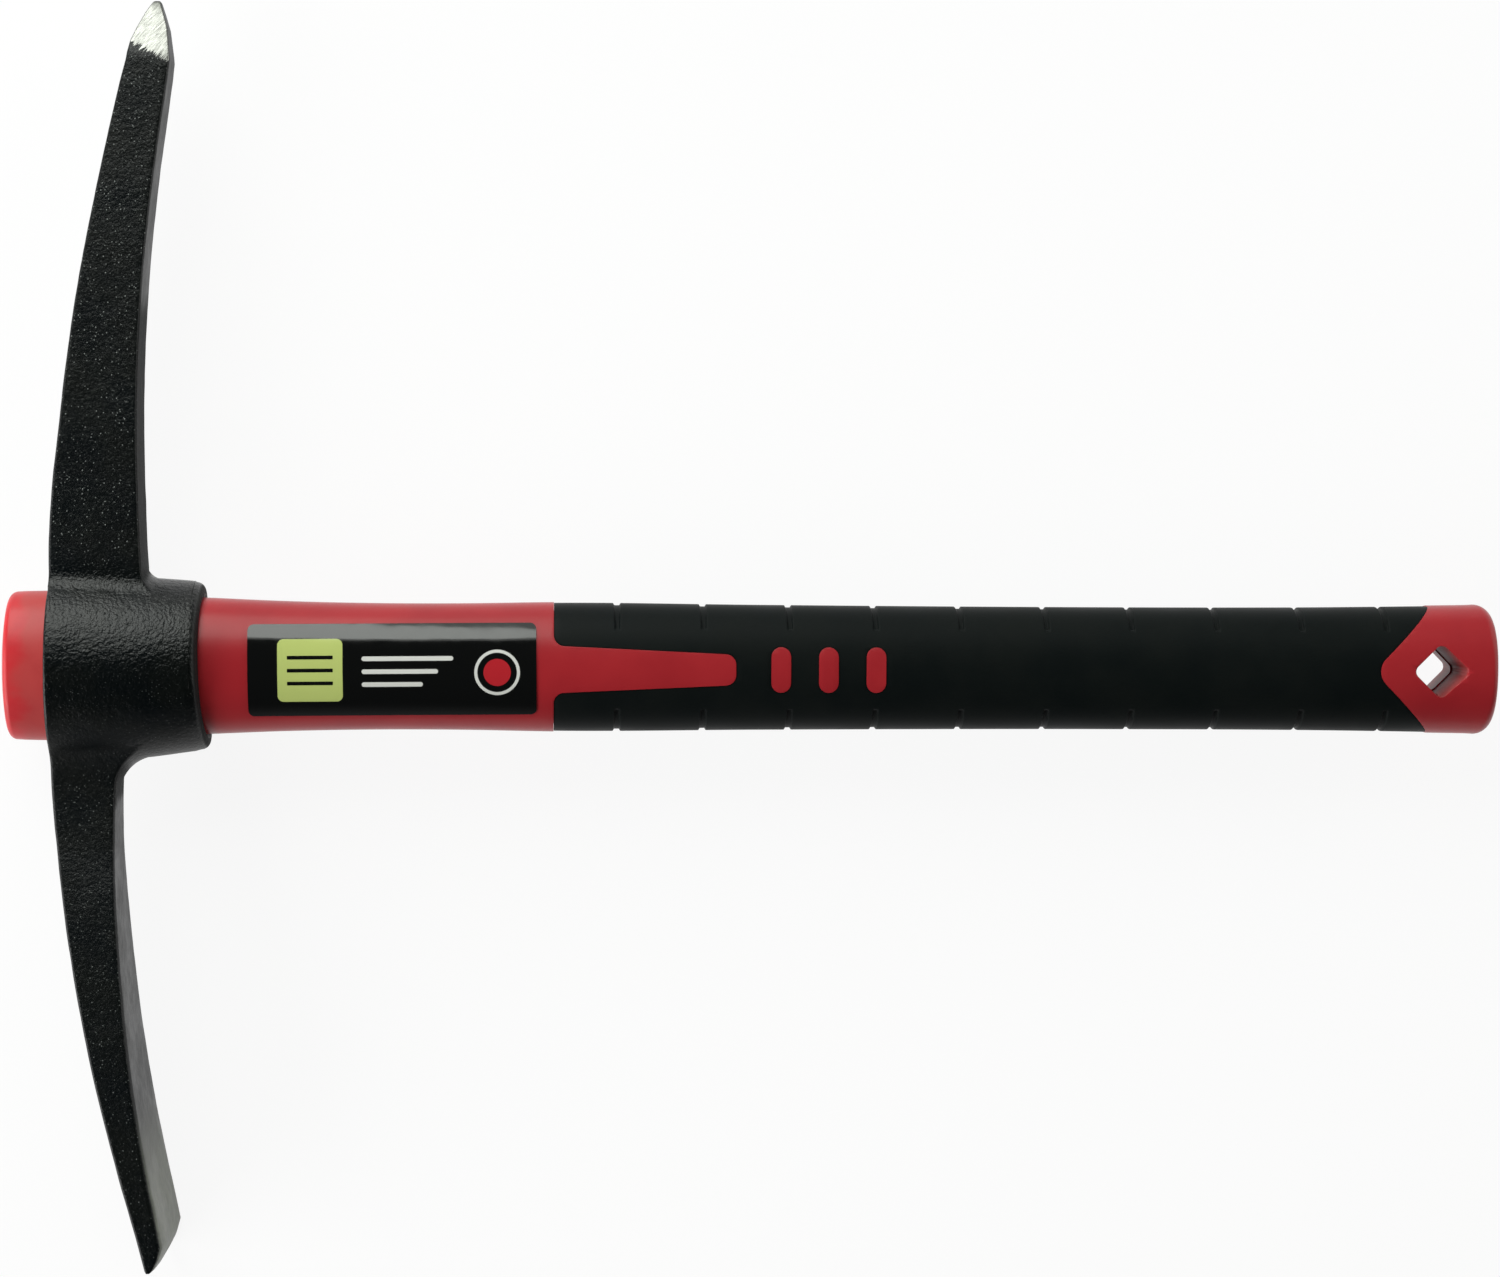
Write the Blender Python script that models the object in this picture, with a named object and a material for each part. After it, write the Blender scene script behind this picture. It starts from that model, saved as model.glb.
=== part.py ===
"""A mason's pick hammer lying on its side.

A forged pick-and-adze head slips over a three-material handle and seats on its flared boss.
+X runs along the handle from the boss to the butt, +Y along the pick arm and +Z up from the ground.
All lengths are in metres. Shapes are drawn about the handle's axis, which starts at the boss end,
and one empty moves them so that the origin is under the middle of the tool.
"""

import math

import bmesh
import bpy
import numpy as np

# Whole tool
HANDLE_LENGTH = 0.400
PICK_REACH = 0.1754
ADZE_REACH = 0.1596
ADZE_WIDTH = 0.04425
PIECE_GAP = 0.0003
BEYOND = 0.010

# Head, along the handle and across it
HEAD_FACE_X = 0.01285
COLLAR_END_X = 0.0534
COLLAR_TILT = 0.032
COLLAR_SETBACK = 0.0017
EYE_POWER = 1.85
EYE_FACE_ROUND = 0.0026
EYE_END_ROUND = 0.0022
EYE_FLANK_ROUND = 0.0032
BORE_CHAMFER = 0.0008
# Distance from the boss end, half height above the axis, half height below it and half width
EYE_SECTIONS = (
    (HEAD_FACE_X, 0.02505, 0.02595, 0.0211),
    (0.0400, 0.0233, 0.0241, 0.0203),
    (COLLAR_END_X, 0.0223, 0.0222, 0.0195),
)
ARM_ROOT_HALF_WIDTH = 0.00935
ARM_FLAT_END_Y = 0.060
PICK_FILLET = 0.0040
ADZE_FILLET = 0.0085
FLANK_FILLET = 0.00605
FLANK_FILLET_ANGLE = 50
FILLET_SINK = 0.0001
FILLET_X = 0.0385
ROOT_MIDDLE_X = 0.0254
ROOT_INSIDE = 0.0025
ROOT_END_Y = 0.04425
ARM_ROUND = 0.0011
ADZE_CHAMFER = 0.0023
EDGE_BOW = 0.0006
EDGE_SKEW = 0.0006
ADZE_SPREAD = (0.036, 0.060)
TIP_EDGE_SHARE = 0.3

# Edges of the arms in side view: distance from the axis, outer edge and inner edge from the boss end
PICK_EDGES = (
    (0.0201, 0.01285, 0.0375),
    (0.03315, 0.01285, 0.03665),
    (0.04525, 0.01355, 0.03615),
    (0.06335, 0.01555, 0.03585),
    (0.09045, 0.0189, 0.0366),
    (0.12265, 0.0247, 0.0394),
    (0.1525, 0.0312, 0.0435),
    (0.1593, 0.0329, 0.0444),
)
ADZE_EDGES = (
    (0.0201, 0.01285, 0.0310),
    (0.0342, 0.0135, 0.0301),
    (0.04925, 0.01515, 0.03005),
    (0.0764, 0.0190, 0.03175),
    (0.10455, 0.0246, 0.03485),
    (0.12965, 0.0310, 0.0390),
    (0.1528, 0.0376, 0.0435),
)
# Distance from the axis and half width across the arms
PICK_HALF_WIDTHS = ((ARM_FLAT_END_Y, ARM_ROOT_HALF_WIDTH), (0.1105, 0.00835), (0.1593, 0.00665))
ADZE_HALF_WIDTHS = (
    (0.0201, 0.00935),
    (0.0342, 0.00935),
    (0.04525, 0.01055),
    (0.0623, 0.01355),
    (0.08745, 0.0168),
    (0.1206, 0.0203),
    (0.1528, 0.0220),
)
# Ground point of the pick: distance from the axis, outer edge, inner edge and half width
PICK_POINT = (
    (0.16435, 0.03405, 0.04395, 0.00535),
    (0.16785, 0.03565, 0.0436, 0.0044),
    (0.1719, 0.0378, 0.0425, 0.0033),
    (0.1746, 0.0396, 0.0416, 0.0024),
    (PICK_REACH, 0.0404, 0.0411, 0.0017),
)
# Cutting bevel of the adze, as for the point
ADZE_BEVEL = (
    (0.1563, 0.0381, 0.0424, ADZE_WIDTH / 2),
    (ADZE_REACH - 0.0007, 0.0390, 0.0409, ADZE_WIDTH / 2),
    (ADZE_REACH, 0.0394, 0.0402, ADZE_WIDTH / 2),
)

# Handle: distance from the boss end, half height and half width
HANDLE_SECTIONS = (
    (0.0000, 0.0196, 0.0154),
    (HEAD_FACE_X, 0.01985, 0.0155),
    (COLLAR_END_X, 0.01815, 0.01435),
    (0.07465, 0.0173, 0.0137),
    (0.0998, 0.01685, 0.0135),
    (0.1219, 0.0169, 0.01345),
    (0.14505, 0.0173, 0.01355),
    (0.2003, 0.01695, 0.01325),
    (0.28575, 0.01665, 0.01305),
    (0.3511, 0.01685, 0.01305),
    (HANDLE_LENGTH, 0.01755, 0.01315),
)
HANDLE_POWER = 2.25
BOSS_CROWN = 0.094
BOSS_CORNER = 0.0021
BUTT_CROWN = 0.058
BUTT_CORNER = 0.0042

# Rubber grip and the red shapes that show through it
GRIP_START_X = 0.1452
GRIP_THICKNESS = 0.0022
GRIP_SINK = 0.00015
V_CORNER_X = 0.36415
V_ROUND = 0.0048
TONGUE_ROOT_HALF = 0.00615
TONGUE_TIP_HALF = 0.00415
TONGUE_END_X = 0.1934
TONGUE_ROOT_ROUND = 0.0029
TONGUE_TIP_ROUND = 0.0028
TONGUE_TIP_ANGLE = 87
CLEAR_HALF_WIDTH = 0.0203
INLAY_XS = (0.20535, 0.2180, 0.23065)
INLAY_HALF_HEIGHT = 0.00605
INLAY_HALF_WIDTH = 0.0026
GROOVE_FIRST_X = 0.1620
GROOVE_PITCH = 0.0229
GROOVE_COUNT = 10
GROOVE_WIDTH = 0.0017
GROOVE_DEPTH = 0.0006
GROOVE_END_HALF_HEIGHT = 0.01085

# Hang hole: a square on its corner, narrower at the parting line
HOLE_X = 0.38265
HOLE_FACE_HALF = 0.0053
HOLE_MIDDLE_HALF = 0.0048
HOLE_RIM_HALF = 0.0060
HOLE_ROUND = 0.0019
HOLE_RIM_DEPTH = 0.0010

# Fibreglass core: two lobes joined by a web
CORE_START_X = 0.0012
CORE_END_X = 0.3511
LOBE_RADIUS = 0.0042
LOBE_OFFSET = 0.0046
WEB_HALF_WIDTH = 0.0026

# Sticker on the neck
LABEL_CENTRE = (0.10285, -0.0002)
LABEL_SIZE = (0.0756, 0.0243)
LABEL_TILT = math.radians(0.5)
LABEL_ROUND = 0.0016
LABEL_THICKNESS = 0.00025
LABEL_GAP = 0.0002

# Facets
HANDLE_POINTS = 40
EYE_POINTS = 48
HANDLE_STEP = 0.012
EYE_MIDDLE_XS = (0.0265, 0.0400, 0.0455)
HANDLE_STRAIGHT_XS = (HEAD_FACE_X, 0.027, 0.0405, COLLAR_END_X)
HANDLE_RING_COUNT = 30
BUTT_RING_GAP = 0.003
CAP_SCALE = 0.75
CORNER_STEPS = 4
TONGUE_TIP_STEPS = 5
V_STEPS = 6
PILL_STEPS = 8
LOBE_STEPS = 14
FILLET_ANGLES = (0, 25, 42, 58, 74, 90)
FLANK_RING_COUNT = 4
EDGE_ANGLES = (90, 60, 30, 0)
BAR_CORNER_STEPS = 3
BAR_FACE_PLACES = (0.55, 0.0, -0.55)
CROWN_START = 0.1
# First place, last place and count of the rings along each arm beyond its root
PICK_SPAN = (0.036, PICK_EDGES[-1][0], 13)
ADZE_SPAN = (0.044, ADZE_EDGES[-1][0], 13)
SMOOTH_ANGLE = math.radians(32)

COLOURS = {
    "forged_black": ((0.014, 0.015, 0.014, 1), 0.55, 0.6),
    "red_plastic": ((0.37, 0.022, 0.026, 1), 0.42, 0.0),
    "black_rubber": ((0.012, 0.013, 0.012, 1), 0.75, 0.0),
    "fibreglass": ((0.62, 0.60, 0.48, 1), 0.5, 0.0),
    "sticker": ((0.01, 0.01, 0.01, 1), 0.15, 0.0),
}


def clear_scene():
    for obj in list(bpy.data.objects):
        bpy.data.objects.remove(obj, do_unlink=True)


def new_collection(name):
    collection = bpy.data.collections.new(name)
    bpy.context.scene.collection.children.link(collection)
    return collection


def material(name):
    colour, roughness, metallic = COLOURS[name]
    made = bpy.data.materials.new(name)
    made.use_nodes = True
    shader = made.node_tree.nodes["Principled BSDF"]
    shader.inputs["Base Color"].default_value = colour
    shader.inputs["Roughness"].default_value = roughness
    shader.inputs["Metallic"].default_value = metallic
    made.diffuse_color = colour
    return made


def smooth_rows(rows, places):
    """Rows of (place, value, ...) read at new places, on a smooth curve through them."""
    rows = np.array(rows)
    knots = rows[:, 0]
    slopes = np.gradient(rows, knots, axis=0)
    read = []
    for place in places:
        i = int(np.clip(np.searchsorted(knots, place) - 1, 0, len(knots) - 2))
        span = knots[i + 1] - knots[i]
        t = (place - knots[i]) / span
        start = rows[i] * (1 + 2 * t) * (1 - t) ** 2 + slopes[i] * span * t * (1 - t) ** 2
        end = rows[i + 1] * t * t * (3 - 2 * t) + slopes[i + 1] * span * t * t * (t - 1)
        read.append(start + end)
    return np.array(read)


def arc(centre, radius, start, end, steps):
    """Points of an arc in a plane, with angles in degrees."""
    angles = np.radians(np.linspace(start, end, steps + 1))
    return [(centre[0] + radius * math.cos(a), centre[1] + radius * math.sin(a)) for a in angles]


def oval(x, half_height, half_width, power, count):
    """A ring across the handle's axis, rounder at power 2 and squarer above it."""
    ring = []
    for i in range(count):
        angle = 2 * math.pi * i / count
        c, s = math.cos(angle), math.sin(angle)
        y = half_height * math.copysign(abs(c) ** (2 / power), c)
        z = half_width * math.copysign(abs(s) ** (2 / power), s)
        ring.append((x, y, z))
    return ring


def loft(name, rings, collection):
    """A closed solid through rings of equal count, with a flat cap at each end."""
    mesh = bmesh.new()
    rows = [[mesh.verts.new(point) for point in ring] for ring in rings]
    count = len(rows[0])
    for low, high in zip(rows, rows[1:]):
        for i in range(count):
            j = (i + 1) % count
            mesh.faces.new((low[i], low[j], high[j], high[i]))
    mesh.faces.new(rows[0])
    mesh.faces.new(rows[-1])
    bmesh.ops.recalc_face_normals(mesh, faces=mesh.faces)
    return add_mesh(name, mesh, collection)


def add_mesh(name, mesh, collection):
    data = bpy.data.meshes.new(name)
    mesh.to_mesh(data)
    mesh.free()
    obj = bpy.data.objects.new(name, data)
    collection.objects.link(obj)
    return obj


def prism(name, outline, low, high, collection):
    """An outline in the XY plane as a solid from one height to another."""
    curve = bpy.data.curves.new(name, "CURVE")
    curve.dimensions = "2D"
    curve.fill_mode = "BOTH"
    curve.extrude = (high - low) / 2
    spline = curve.splines.new("POLY")
    spline.points.add(len(outline) - 1)
    for point, (x, y) in zip(spline.points, outline):
        point.co = (x, y, 0, 1)
    spline.use_cyclic_u = True
    guide = bpy.data.objects.new(name + "_outline", curve)
    guide.location.z = (high + low) / 2
    collection.objects.link(guide)
    graph = bpy.context.evaluated_depsgraph_get()
    flat = bpy.data.meshes.new_from_object(guide.evaluated_get(graph))
    mesh = bmesh.new()
    mesh.from_mesh(flat)
    mesh.transform(guide.matrix_world)
    bmesh.ops.remove_doubles(mesh, verts=mesh.verts, dist=1e-6)
    bmesh.ops.recalc_face_normals(mesh, faces=mesh.faces)
    bpy.data.objects.remove(guide, do_unlink=True)
    return add_mesh(name, mesh, collection)


def boolean(obj, operation, other):
    modifier = obj.modifiers.new(operation.lower() + "_" + other.name, "BOOLEAN")
    modifier.operation = operation
    modifier.object = other
    modifier.solver = "EXACT"


def finish(obj, finish_material, axis):
    """Gives a piece its material and shading, and hangs it on the tool's axis."""
    obj.data.materials.append(finish_material)
    obj.data.shade_smooth()
    obj.data.set_sharp_from_angle(angle=SMOOTH_ANGLE)
    obj.parent = axis
    return obj


def bar_ring(y, outer_x, inner_x, half_width, outer_round, inner_cut, cut_bulge):
    """A ring across an arm: rounded outer corners, and inner corners cut flat or rounded by their bulge."""
    corners = (
        (outer_x, -half_width, outer_round, 1.0, 270),
        (outer_x, half_width, outer_round, 1.0, 180),
        (inner_x, half_width, inner_cut, cut_bulge, 90),
        (inner_x, -half_width, inner_cut, cut_bulge, 0),
    )
    ring = []
    for corner_x, corner_z, size, bulge, start in corners:
        centre = (
            corner_x + math.copysign(size, outer_x + inner_x - 2 * corner_x),
            corner_z - math.copysign(size, corner_z),
        )
        rounded = arc(centre, size, start, start - 90, BAR_CORNER_STEPS)
        for k, point in enumerate(rounded):
            t = k / BAR_CORNER_STEPS
            flat = [a + (b - a) * t for a, b in zip(rounded[0], rounded[-1])]
            x, z = (f + (p - f) * bulge for f, p in zip(flat, point))
            ring.append((x, y, z))
        if start in (270, 90):
            ring += [(x, y, z * t) for t in BAR_FACE_PLACES]
    return ring


def fillet_depth(height, radius):
    """How far a fillet of this radius stands out at a height above the face that it runs into."""
    rise = min(max(height, 0.0), radius)
    return radius - math.sqrt(radius**2 - (radius - rise) ** 2)


def eye_surface(x, z, side):
    """Distance from the axis to the eye's oval above it (side 1) or below it (side -1)."""
    _, upper, lower, half_width = smooth_rows(EYE_SECTIONS, [x])[0]
    half_height = upper if side > 0 else lower
    return half_height * (1 - (abs(z) / half_width) ** EYE_POWER) ** (1 / EYE_POWER)


def flank_curve(side):
    """Pairs of place and half width where an arm's flank curves out into the eye's oval."""
    top = eye_surface(FILLET_X, 0, side)
    angles = np.radians(np.linspace(FLANK_FILLET_ANGLE, 0, FLANK_RING_COUNT))
    widths = ARM_ROOT_HALF_WIDTH + FLANK_FILLET * (1 - np.cos(angles))
    meet_y = eye_surface(ROOT_MIDDLE_X, widths[0], side)
    pairs = []
    for angle, half_width in zip(angles, widths):
        y = meet_y + FLANK_FILLET * (math.sin(angles[0]) - math.sin(angle))
        pairs.append((y + top - eye_surface(ROOT_MIDDLE_X, half_width, side), half_width))
    return np.array(pairs)


def root_places(fillet, side):
    """Distances from the axis for the rings of an arm's root, close together round its fillets."""
    top = eye_surface(FILLET_X, 0, side) - FILLET_SINK
    inner = [top + fillet * (1 - math.cos(a)) for a in np.radians(FILLET_ANGLES)]
    return sorted([top - ROOT_INSIDE] + inner + list(flank_curve(side)[:, 0]))


def root_ring(row, half_width, fillet, side, cut=ARM_ROUND, bulge=1.0):
    """A ring across an arm, bent near its root so that its fillets follow the eye's oval."""
    place, outer_x, inner_x = row
    top = eye_surface(FILLET_X, 0, side)
    flank = flank_curve(side)
    half_width = max(half_width, np.interp(place, flank[:, 0], flank[:, 1], right=0.0))
    outer_round = np.interp(place, (top, flank[-1, 0]), (EYE_FACE_ROUND, ARM_ROUND))
    outer_x = max(outer_x, HEAD_FACE_X)
    inner_x += fillet_depth(place - top + FILLET_SINK, fillet)
    ring = bar_ring(place, outer_x, inner_x, half_width, outer_round, cut, bulge)
    bend = np.interp(place, (top + fillet, ROOT_END_Y), (1.0, 0.0))
    if not bend:
        return ring
    return [(x, y - bend * (top - eye_surface(x, z, side)), z) for x, y, z in ring]


def tip_ring(y, outer_x, inner_x, half_width, bulge):
    """A ring across the end of an arm, with edges in proportion to its thickness."""
    edge = min(ARM_ROUND, TIP_EDGE_SHARE * (inner_x - outer_x), TIP_EDGE_SHARE * half_width)
    return bar_ring(y, outer_x, inner_x, half_width, edge, edge, bulge)


def pick_rings():
    """Rings from the eye up the pick arm to its ground point."""
    places = root_places(PICK_FILLET, 1) + list(np.linspace(*PICK_SPAN))
    widths = np.array(PICK_HALF_WIDTHS)
    rings = []
    for row in smooth_rows(PICK_EDGES, places):
        half_width = np.interp(row[0], widths[:, 0], widths[:, 1])
        rings.append(root_ring(row, half_width, PICK_FILLET, 1))
    return rings + [tip_ring(*row, 1.0) for row in PICK_POINT]


def adze_rings():
    """Rings from the eye down the adze to its cutting edge, which is bowed and a little askew."""
    places = root_places(ADZE_FILLET, -1) + list(np.linspace(*ADZE_SPAN))
    widths = smooth_rows(ADZE_HALF_WIDTHS, places)
    rings = []
    for row, (_, half_width) in zip(smooth_rows(ADZE_EDGES, places), widths):
        spread = np.interp(row[0], ADZE_SPREAD, (0.0, 1.0))
        cut = ARM_ROUND + (ADZE_CHAMFER - ARM_ROUND) * spread
        rings.append(root_ring(row, half_width, ADZE_FILLET, -1, cut, 1.0 - spread))
    rings += [tip_ring(*row, 0.0) for row in ADZE_BEVEL]
    deepest = EDGE_SKEW**2 / (4 * EDGE_BOW)
    for ring in rings[-len(ADZE_BEVEL) - 1 :]:
        for i, (x, y, z) in enumerate(ring):
            t = 2 * z / ADZE_WIDTH
            ring[i] = (x, y - deepest - EDGE_BOW * t * t - EDGE_SKEW * t, z)
    return [[(x, -y, z) for x, y, z in ring] for ring in rings]


def eye_ring(x, inward=0, angle=0.0, top_round=0.0, flank_round=0.0):
    """A ring round the eye, drawn in by its place on a rounded edge."""
    _, upper, lower, half_width = smooth_rows(EYE_SECTIONS, [x])[0]
    ring = []
    for _, y, z in oval(x, 1.0, 1.0, EYE_POWER, EYE_POINTS):
        rounding = top_round + (flank_round - top_round) * z * z
        inset = rounding * (1 - math.cos(angle))
        half_height = upper if y > 0 else lower
        depth = inward * rounding * (1 - math.sin(angle))
        ring.append((x + depth, y * (half_height - inset), z * (half_width - inset)))
    return ring


def collar_end(ring, scale=1.0):
    """The ring tilted, and set back on its flanks, as the collar's end is."""
    half_width = EYE_SECTIONS[-1][3]
    moved = []
    for x, y, z in ring:
        y, z = y * scale, z * scale
        moved.append((x - COLLAR_TILT * y - COLLAR_SETBACK * (z / half_width) ** 2, y, z))
    return moved


def make_eye(cutters):
    """The oval through which the handle passes, with both of its ends rounded."""
    angles = np.radians(EDGE_ANGLES)
    face = [eye_ring(HEAD_FACE_X, 1, angle, EYE_FACE_ROUND, EYE_FACE_ROUND) for angle in angles]
    middle = [eye_ring(x) for x in EYE_MIDDLE_XS]
    end = [eye_ring(COLLAR_END_X, -1, angle, EYE_END_ROUND, EYE_FLANK_ROUND) for angle in angles]
    end = [collar_end(end[0], CAP_SCALE)] + [collar_end(ring) for ring in end]
    return loft("eye", face + middle + end[::-1], cutters)


def make_bore(cutters):
    """The tapered hole for the handle, with a small chamfer at each mouth."""
    bore = [
        handle_ring(HEAD_FACE_X - BORE_CHAMFER, PIECE_GAP + 2 * BORE_CHAMFER),
        handle_ring(HEAD_FACE_X + BORE_CHAMFER, PIECE_GAP),
        collar_end(handle_ring(COLLAR_END_X - BORE_CHAMFER, PIECE_GAP)),
        collar_end(handle_ring(COLLAR_END_X + BORE_CHAMFER, PIECE_GAP + 2 * BORE_CHAMFER)),
    ]
    return loft("bore", bore, cutters)


def make_head(parts, cutters):
    """The forging: both arms in one bar, the eye across it and the tapered bore."""
    head = loft("pick_head", adze_rings()[::-1] + pick_rings(), parts)
    boolean(head, "UNION", make_eye(cutters))
    boolean(head, "DIFFERENCE", make_bore(cutters))
    return head


def handle_size(x):
    """Half height and half width of the handle; the boss tapers straight through the eye."""
    if x <= COLLAR_END_X:
        rows = np.array(HANDLE_SECTIONS[1:3] if x > HEAD_FACE_X else HANDLE_SECTIONS[:2])
        return np.interp(x, rows[:, 0], rows[:, 1]), np.interp(x, rows[:, 0], rows[:, 2])
    _, half_height, half_width = smooth_rows(HANDLE_SECTIONS, [min(x, HANDLE_LENGTH)])[0]
    return half_height, half_width


def handle_ring(x, grow=0.0):
    half_height, half_width = handle_size(x)
    return oval(x, half_height + grow, half_width + grow, HANDLE_POWER, HANDLE_POINTS)


def handle_skin(name, start, end, grow, collection):
    """A stretch of the handle's oval, grown or shrunk all round."""
    places = np.linspace(start, end, round((end - start) / HANDLE_STEP) + 1)
    return loft(name, [handle_ring(x, grow) for x in places], collection)


def crowned_end_rings(end_x, inward, crown, corner):
    """Rings of a crowned end with a round corner, from its middle outward."""
    half_height, half_width = handle_size(end_x)
    corner_y = half_height - corner
    corner_depth = crown - math.sqrt((crown - corner) ** 2 - corner_y**2)
    meet = math.degrees(math.asin(corner_y / (crown - corner)))
    profile = arc((0, 0), crown, meet * CROWN_START, meet, CORNER_STEPS)[:-1]
    profile = [(crown - x, y) for x, y in profile]
    rounded = arc((0, 0), corner, meet, 90, CORNER_STEPS)
    profile += [(corner_depth - a, corner_y + b) for a, b in rounded]
    rings = []
    for depth, y in profile:
        x = end_x + inward * depth
        scale = y / half_height
        rings.append(oval(x, y, half_width * scale, HANDLE_POWER, HANDLE_POINTS))
    return rings


def grip_outline(gap):
    """The rubber's outline in side view: round the tongue at one end and along the V at the other."""
    side = HANDLE_SECTIONS[0][1] + BEYOND
    start_x = GRIP_START_X + gap
    v_centre = (V_CORNER_X + V_ROUND * math.sqrt(2), 0)
    v_side_x = V_CORNER_X - gap * math.sqrt(2) + side
    root_corner = (GRIP_START_X + TONGUE_ROOT_ROUND, TONGUE_ROOT_HALF + TONGUE_ROOT_ROUND)
    tip_corner = (TONGUE_END_X - TONGUE_TIP_ROUND, TONGUE_TIP_HALF - TONGUE_TIP_ROUND)
    upper_tongue = arc(root_corner, TONGUE_ROOT_ROUND - gap, 180, 270, CORNER_STEPS)
    upper_tongue += arc(tip_corner, TONGUE_TIP_ROUND + gap, TONGUE_TIP_ANGLE, 0, TONGUE_TIP_STEPS)
    lower_tongue = [(x, -y) for x, y in upper_tongue[::-1]]
    outline = [(start_x, side)] + upper_tongue + lower_tongue + [(start_x, -side), (v_side_x, -side)]
    outline += arc(v_centre, V_ROUND + gap, 225, 135, V_STEPS)
    outline.append((v_side_x, side))
    return outline


def inlay_outline(centre_x, gap):
    """A plain pill shape, upright across the grip."""
    radius = INLAY_HALF_WIDTH + gap
    straight = INLAY_HALF_HEIGHT - INLAY_HALF_WIDTH
    top = arc((centre_x, straight), radius, 0, 180, PILL_STEPS)
    return top + [(2 * centre_x - x, -y) for x, y in top]


def add_inlays(gap, cutters):
    """Pill-shaped prisms on the upper side of the handle."""
    return [
        prism(f"inlay_{i}_{round(gap * 1e4)}", inlay_outline(x, gap), 0, CLEAR_HALF_WIDTH, cutters)
        for i, x in enumerate(INLAY_XS)
    ]


def grip_zone(name, gap, core_grow, cutters):
    """The room that the rubber fills: its outline, less the plastic core and the inlays."""
    zone = prism(name, grip_outline(gap), -CLEAR_HALF_WIDTH, CLEAR_HALF_WIDTH, cutters)
    start, end = GRIP_START_X - BEYOND, HANDLE_LENGTH
    core = handle_skin(name + "_core", start, end, core_grow - GRIP_THICKNESS, cutters)
    boolean(zone, "DIFFERENCE", core)
    for inlay in add_inlays(gap, cutters):
        boolean(zone, "DIFFERENCE", inlay)
    return zone


def lobe_ring(x, grow=0.0):
    """The core's twin-lobed section."""
    radius = LOBE_RADIUS + grow
    web = math.degrees(math.asin((WEB_HALF_WIDTH + grow) / radius))
    upper = arc((LOBE_OFFSET, 0), radius, web - 180, 180 - web, LOBE_STEPS)
    lower = [(-y, -z) for y, z in upper]
    return [(x, y, z) for y, z in upper + lower]


def hole_ring(z, half):
    """A square on its corner with rounded corners, at one height."""
    reach = half * math.sqrt(2) - HOLE_ROUND * math.sqrt(2)
    ring = []
    for turn in (0, 90, 180, 270):
        corner = (
            HOLE_X + reach * math.cos(math.radians(turn)),
            reach * math.sin(math.radians(turn)),
        )
        ring += arc(corner, HOLE_ROUND, turn - 45, turn + 45, CORNER_STEPS)
    return [(x, y, z) for x, y in ring]


def make_handle_body(parts, cutters):
    """The plastic body: boss, neck, core under the rubber, tongue, inlays and butt."""
    boss = crowned_end_rings(0, 1, BOSS_CROWN, BOSS_CORNER)
    butt = crowned_end_rings(HANDLE_LENGTH, -1, BUTT_CROWN, BUTT_CORNER)
    curved_end = butt[-1][0][0] - BUTT_RING_GAP
    curved = np.linspace(COLLAR_END_X, curved_end, HANDLE_RING_COUNT)[1:]
    middle = [handle_ring(x) for x in (*HANDLE_STRAIGHT_XS, *curved)]
    body = loft("handle_body", boss + middle + butt[::-1], parts)

    room = grip_zone("grip_room", 0.0, 0.0, cutters)
    ends = (-BEYOND, CORE_END_X + PIECE_GAP)
    pocket = loft("core_pocket", [lobe_ring(x, PIECE_GAP) for x in ends], cutters)
    hole = make_hang_hole(cutters)
    for cutter in (room, pocket, hole):
        boolean(body, "DIFFERENCE", cutter)
    return body


def make_hang_hole(cutters):
    """The hole's cutter, with draft from the parting line and a flared rim on both faces."""
    surface = handle_size(HOLE_X)[1]
    half_sizes = (
        (0, HOLE_MIDDLE_HALF),
        (surface - HOLE_RIM_DEPTH, HOLE_FACE_HALF),
        (surface, HOLE_RIM_HALF),
        (surface + HOLE_RIM_HALF, 2 * HOLE_RIM_HALF),
    )
    upper = [hole_ring(z, half) for z, half in half_sizes]
    lower = [hole_ring(-z, half) for z, half in half_sizes[:0:-1]]
    return loft("hang_hole", lower + upper, cutters)


def make_grooves(cutters):
    """V-grooves over the two edges of the grip, each ending on its flat sides."""
    half_height = HANDLE_SECTIONS[0][1]
    mesh = bmesh.new()
    for i in range(GROOVE_COUNT):
        x = GROOVE_FIRST_X + i * GROOVE_PITCH
        for side in (1, -1):
            middle_y = side * (half_height + GROOVE_END_HALF_HEIGHT) / 2
            made = bmesh.ops.create_cube(mesh, size=1)["verts"]
            size = (GROOVE_WIDTH, half_height - GROOVE_END_HALF_HEIGHT, 2 * CLEAR_HALF_WIDTH)
            bmesh.ops.scale(mesh, vec=size, verts=made)
            bmesh.ops.translate(mesh, vec=(x, middle_y, 0), verts=made)
    slabs = add_mesh("groove_slabs", mesh, cutters)
    start, end = GRIP_START_X, HANDLE_LENGTH
    floor = handle_skin("groove_floor", start, end, -GRIP_SINK - GROOVE_DEPTH, cutters)
    boolean(slabs, "DIFFERENCE", floor)
    return slabs


def make_grip(parts, cutters):
    """The rubber sleeve, open round the tongue and the inlays, with its edge grooves."""
    end_x = V_CORNER_X + HANDLE_SECTIONS[0][1] + BEYOND
    grip = handle_skin("rubber_grip", GRIP_START_X - BEYOND, end_x, -GRIP_SINK, parts)
    boolean(grip, "INTERSECT", grip_zone("grip_shape", PIECE_GAP, PIECE_GAP, cutters))
    boolean(grip, "DIFFERENCE", make_grooves(cutters))
    return grip


def make_core(parts):
    return loft("fibreglass_core", [lobe_ring(x) for x in (CORE_START_X, CORE_END_X)], parts)


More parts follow.
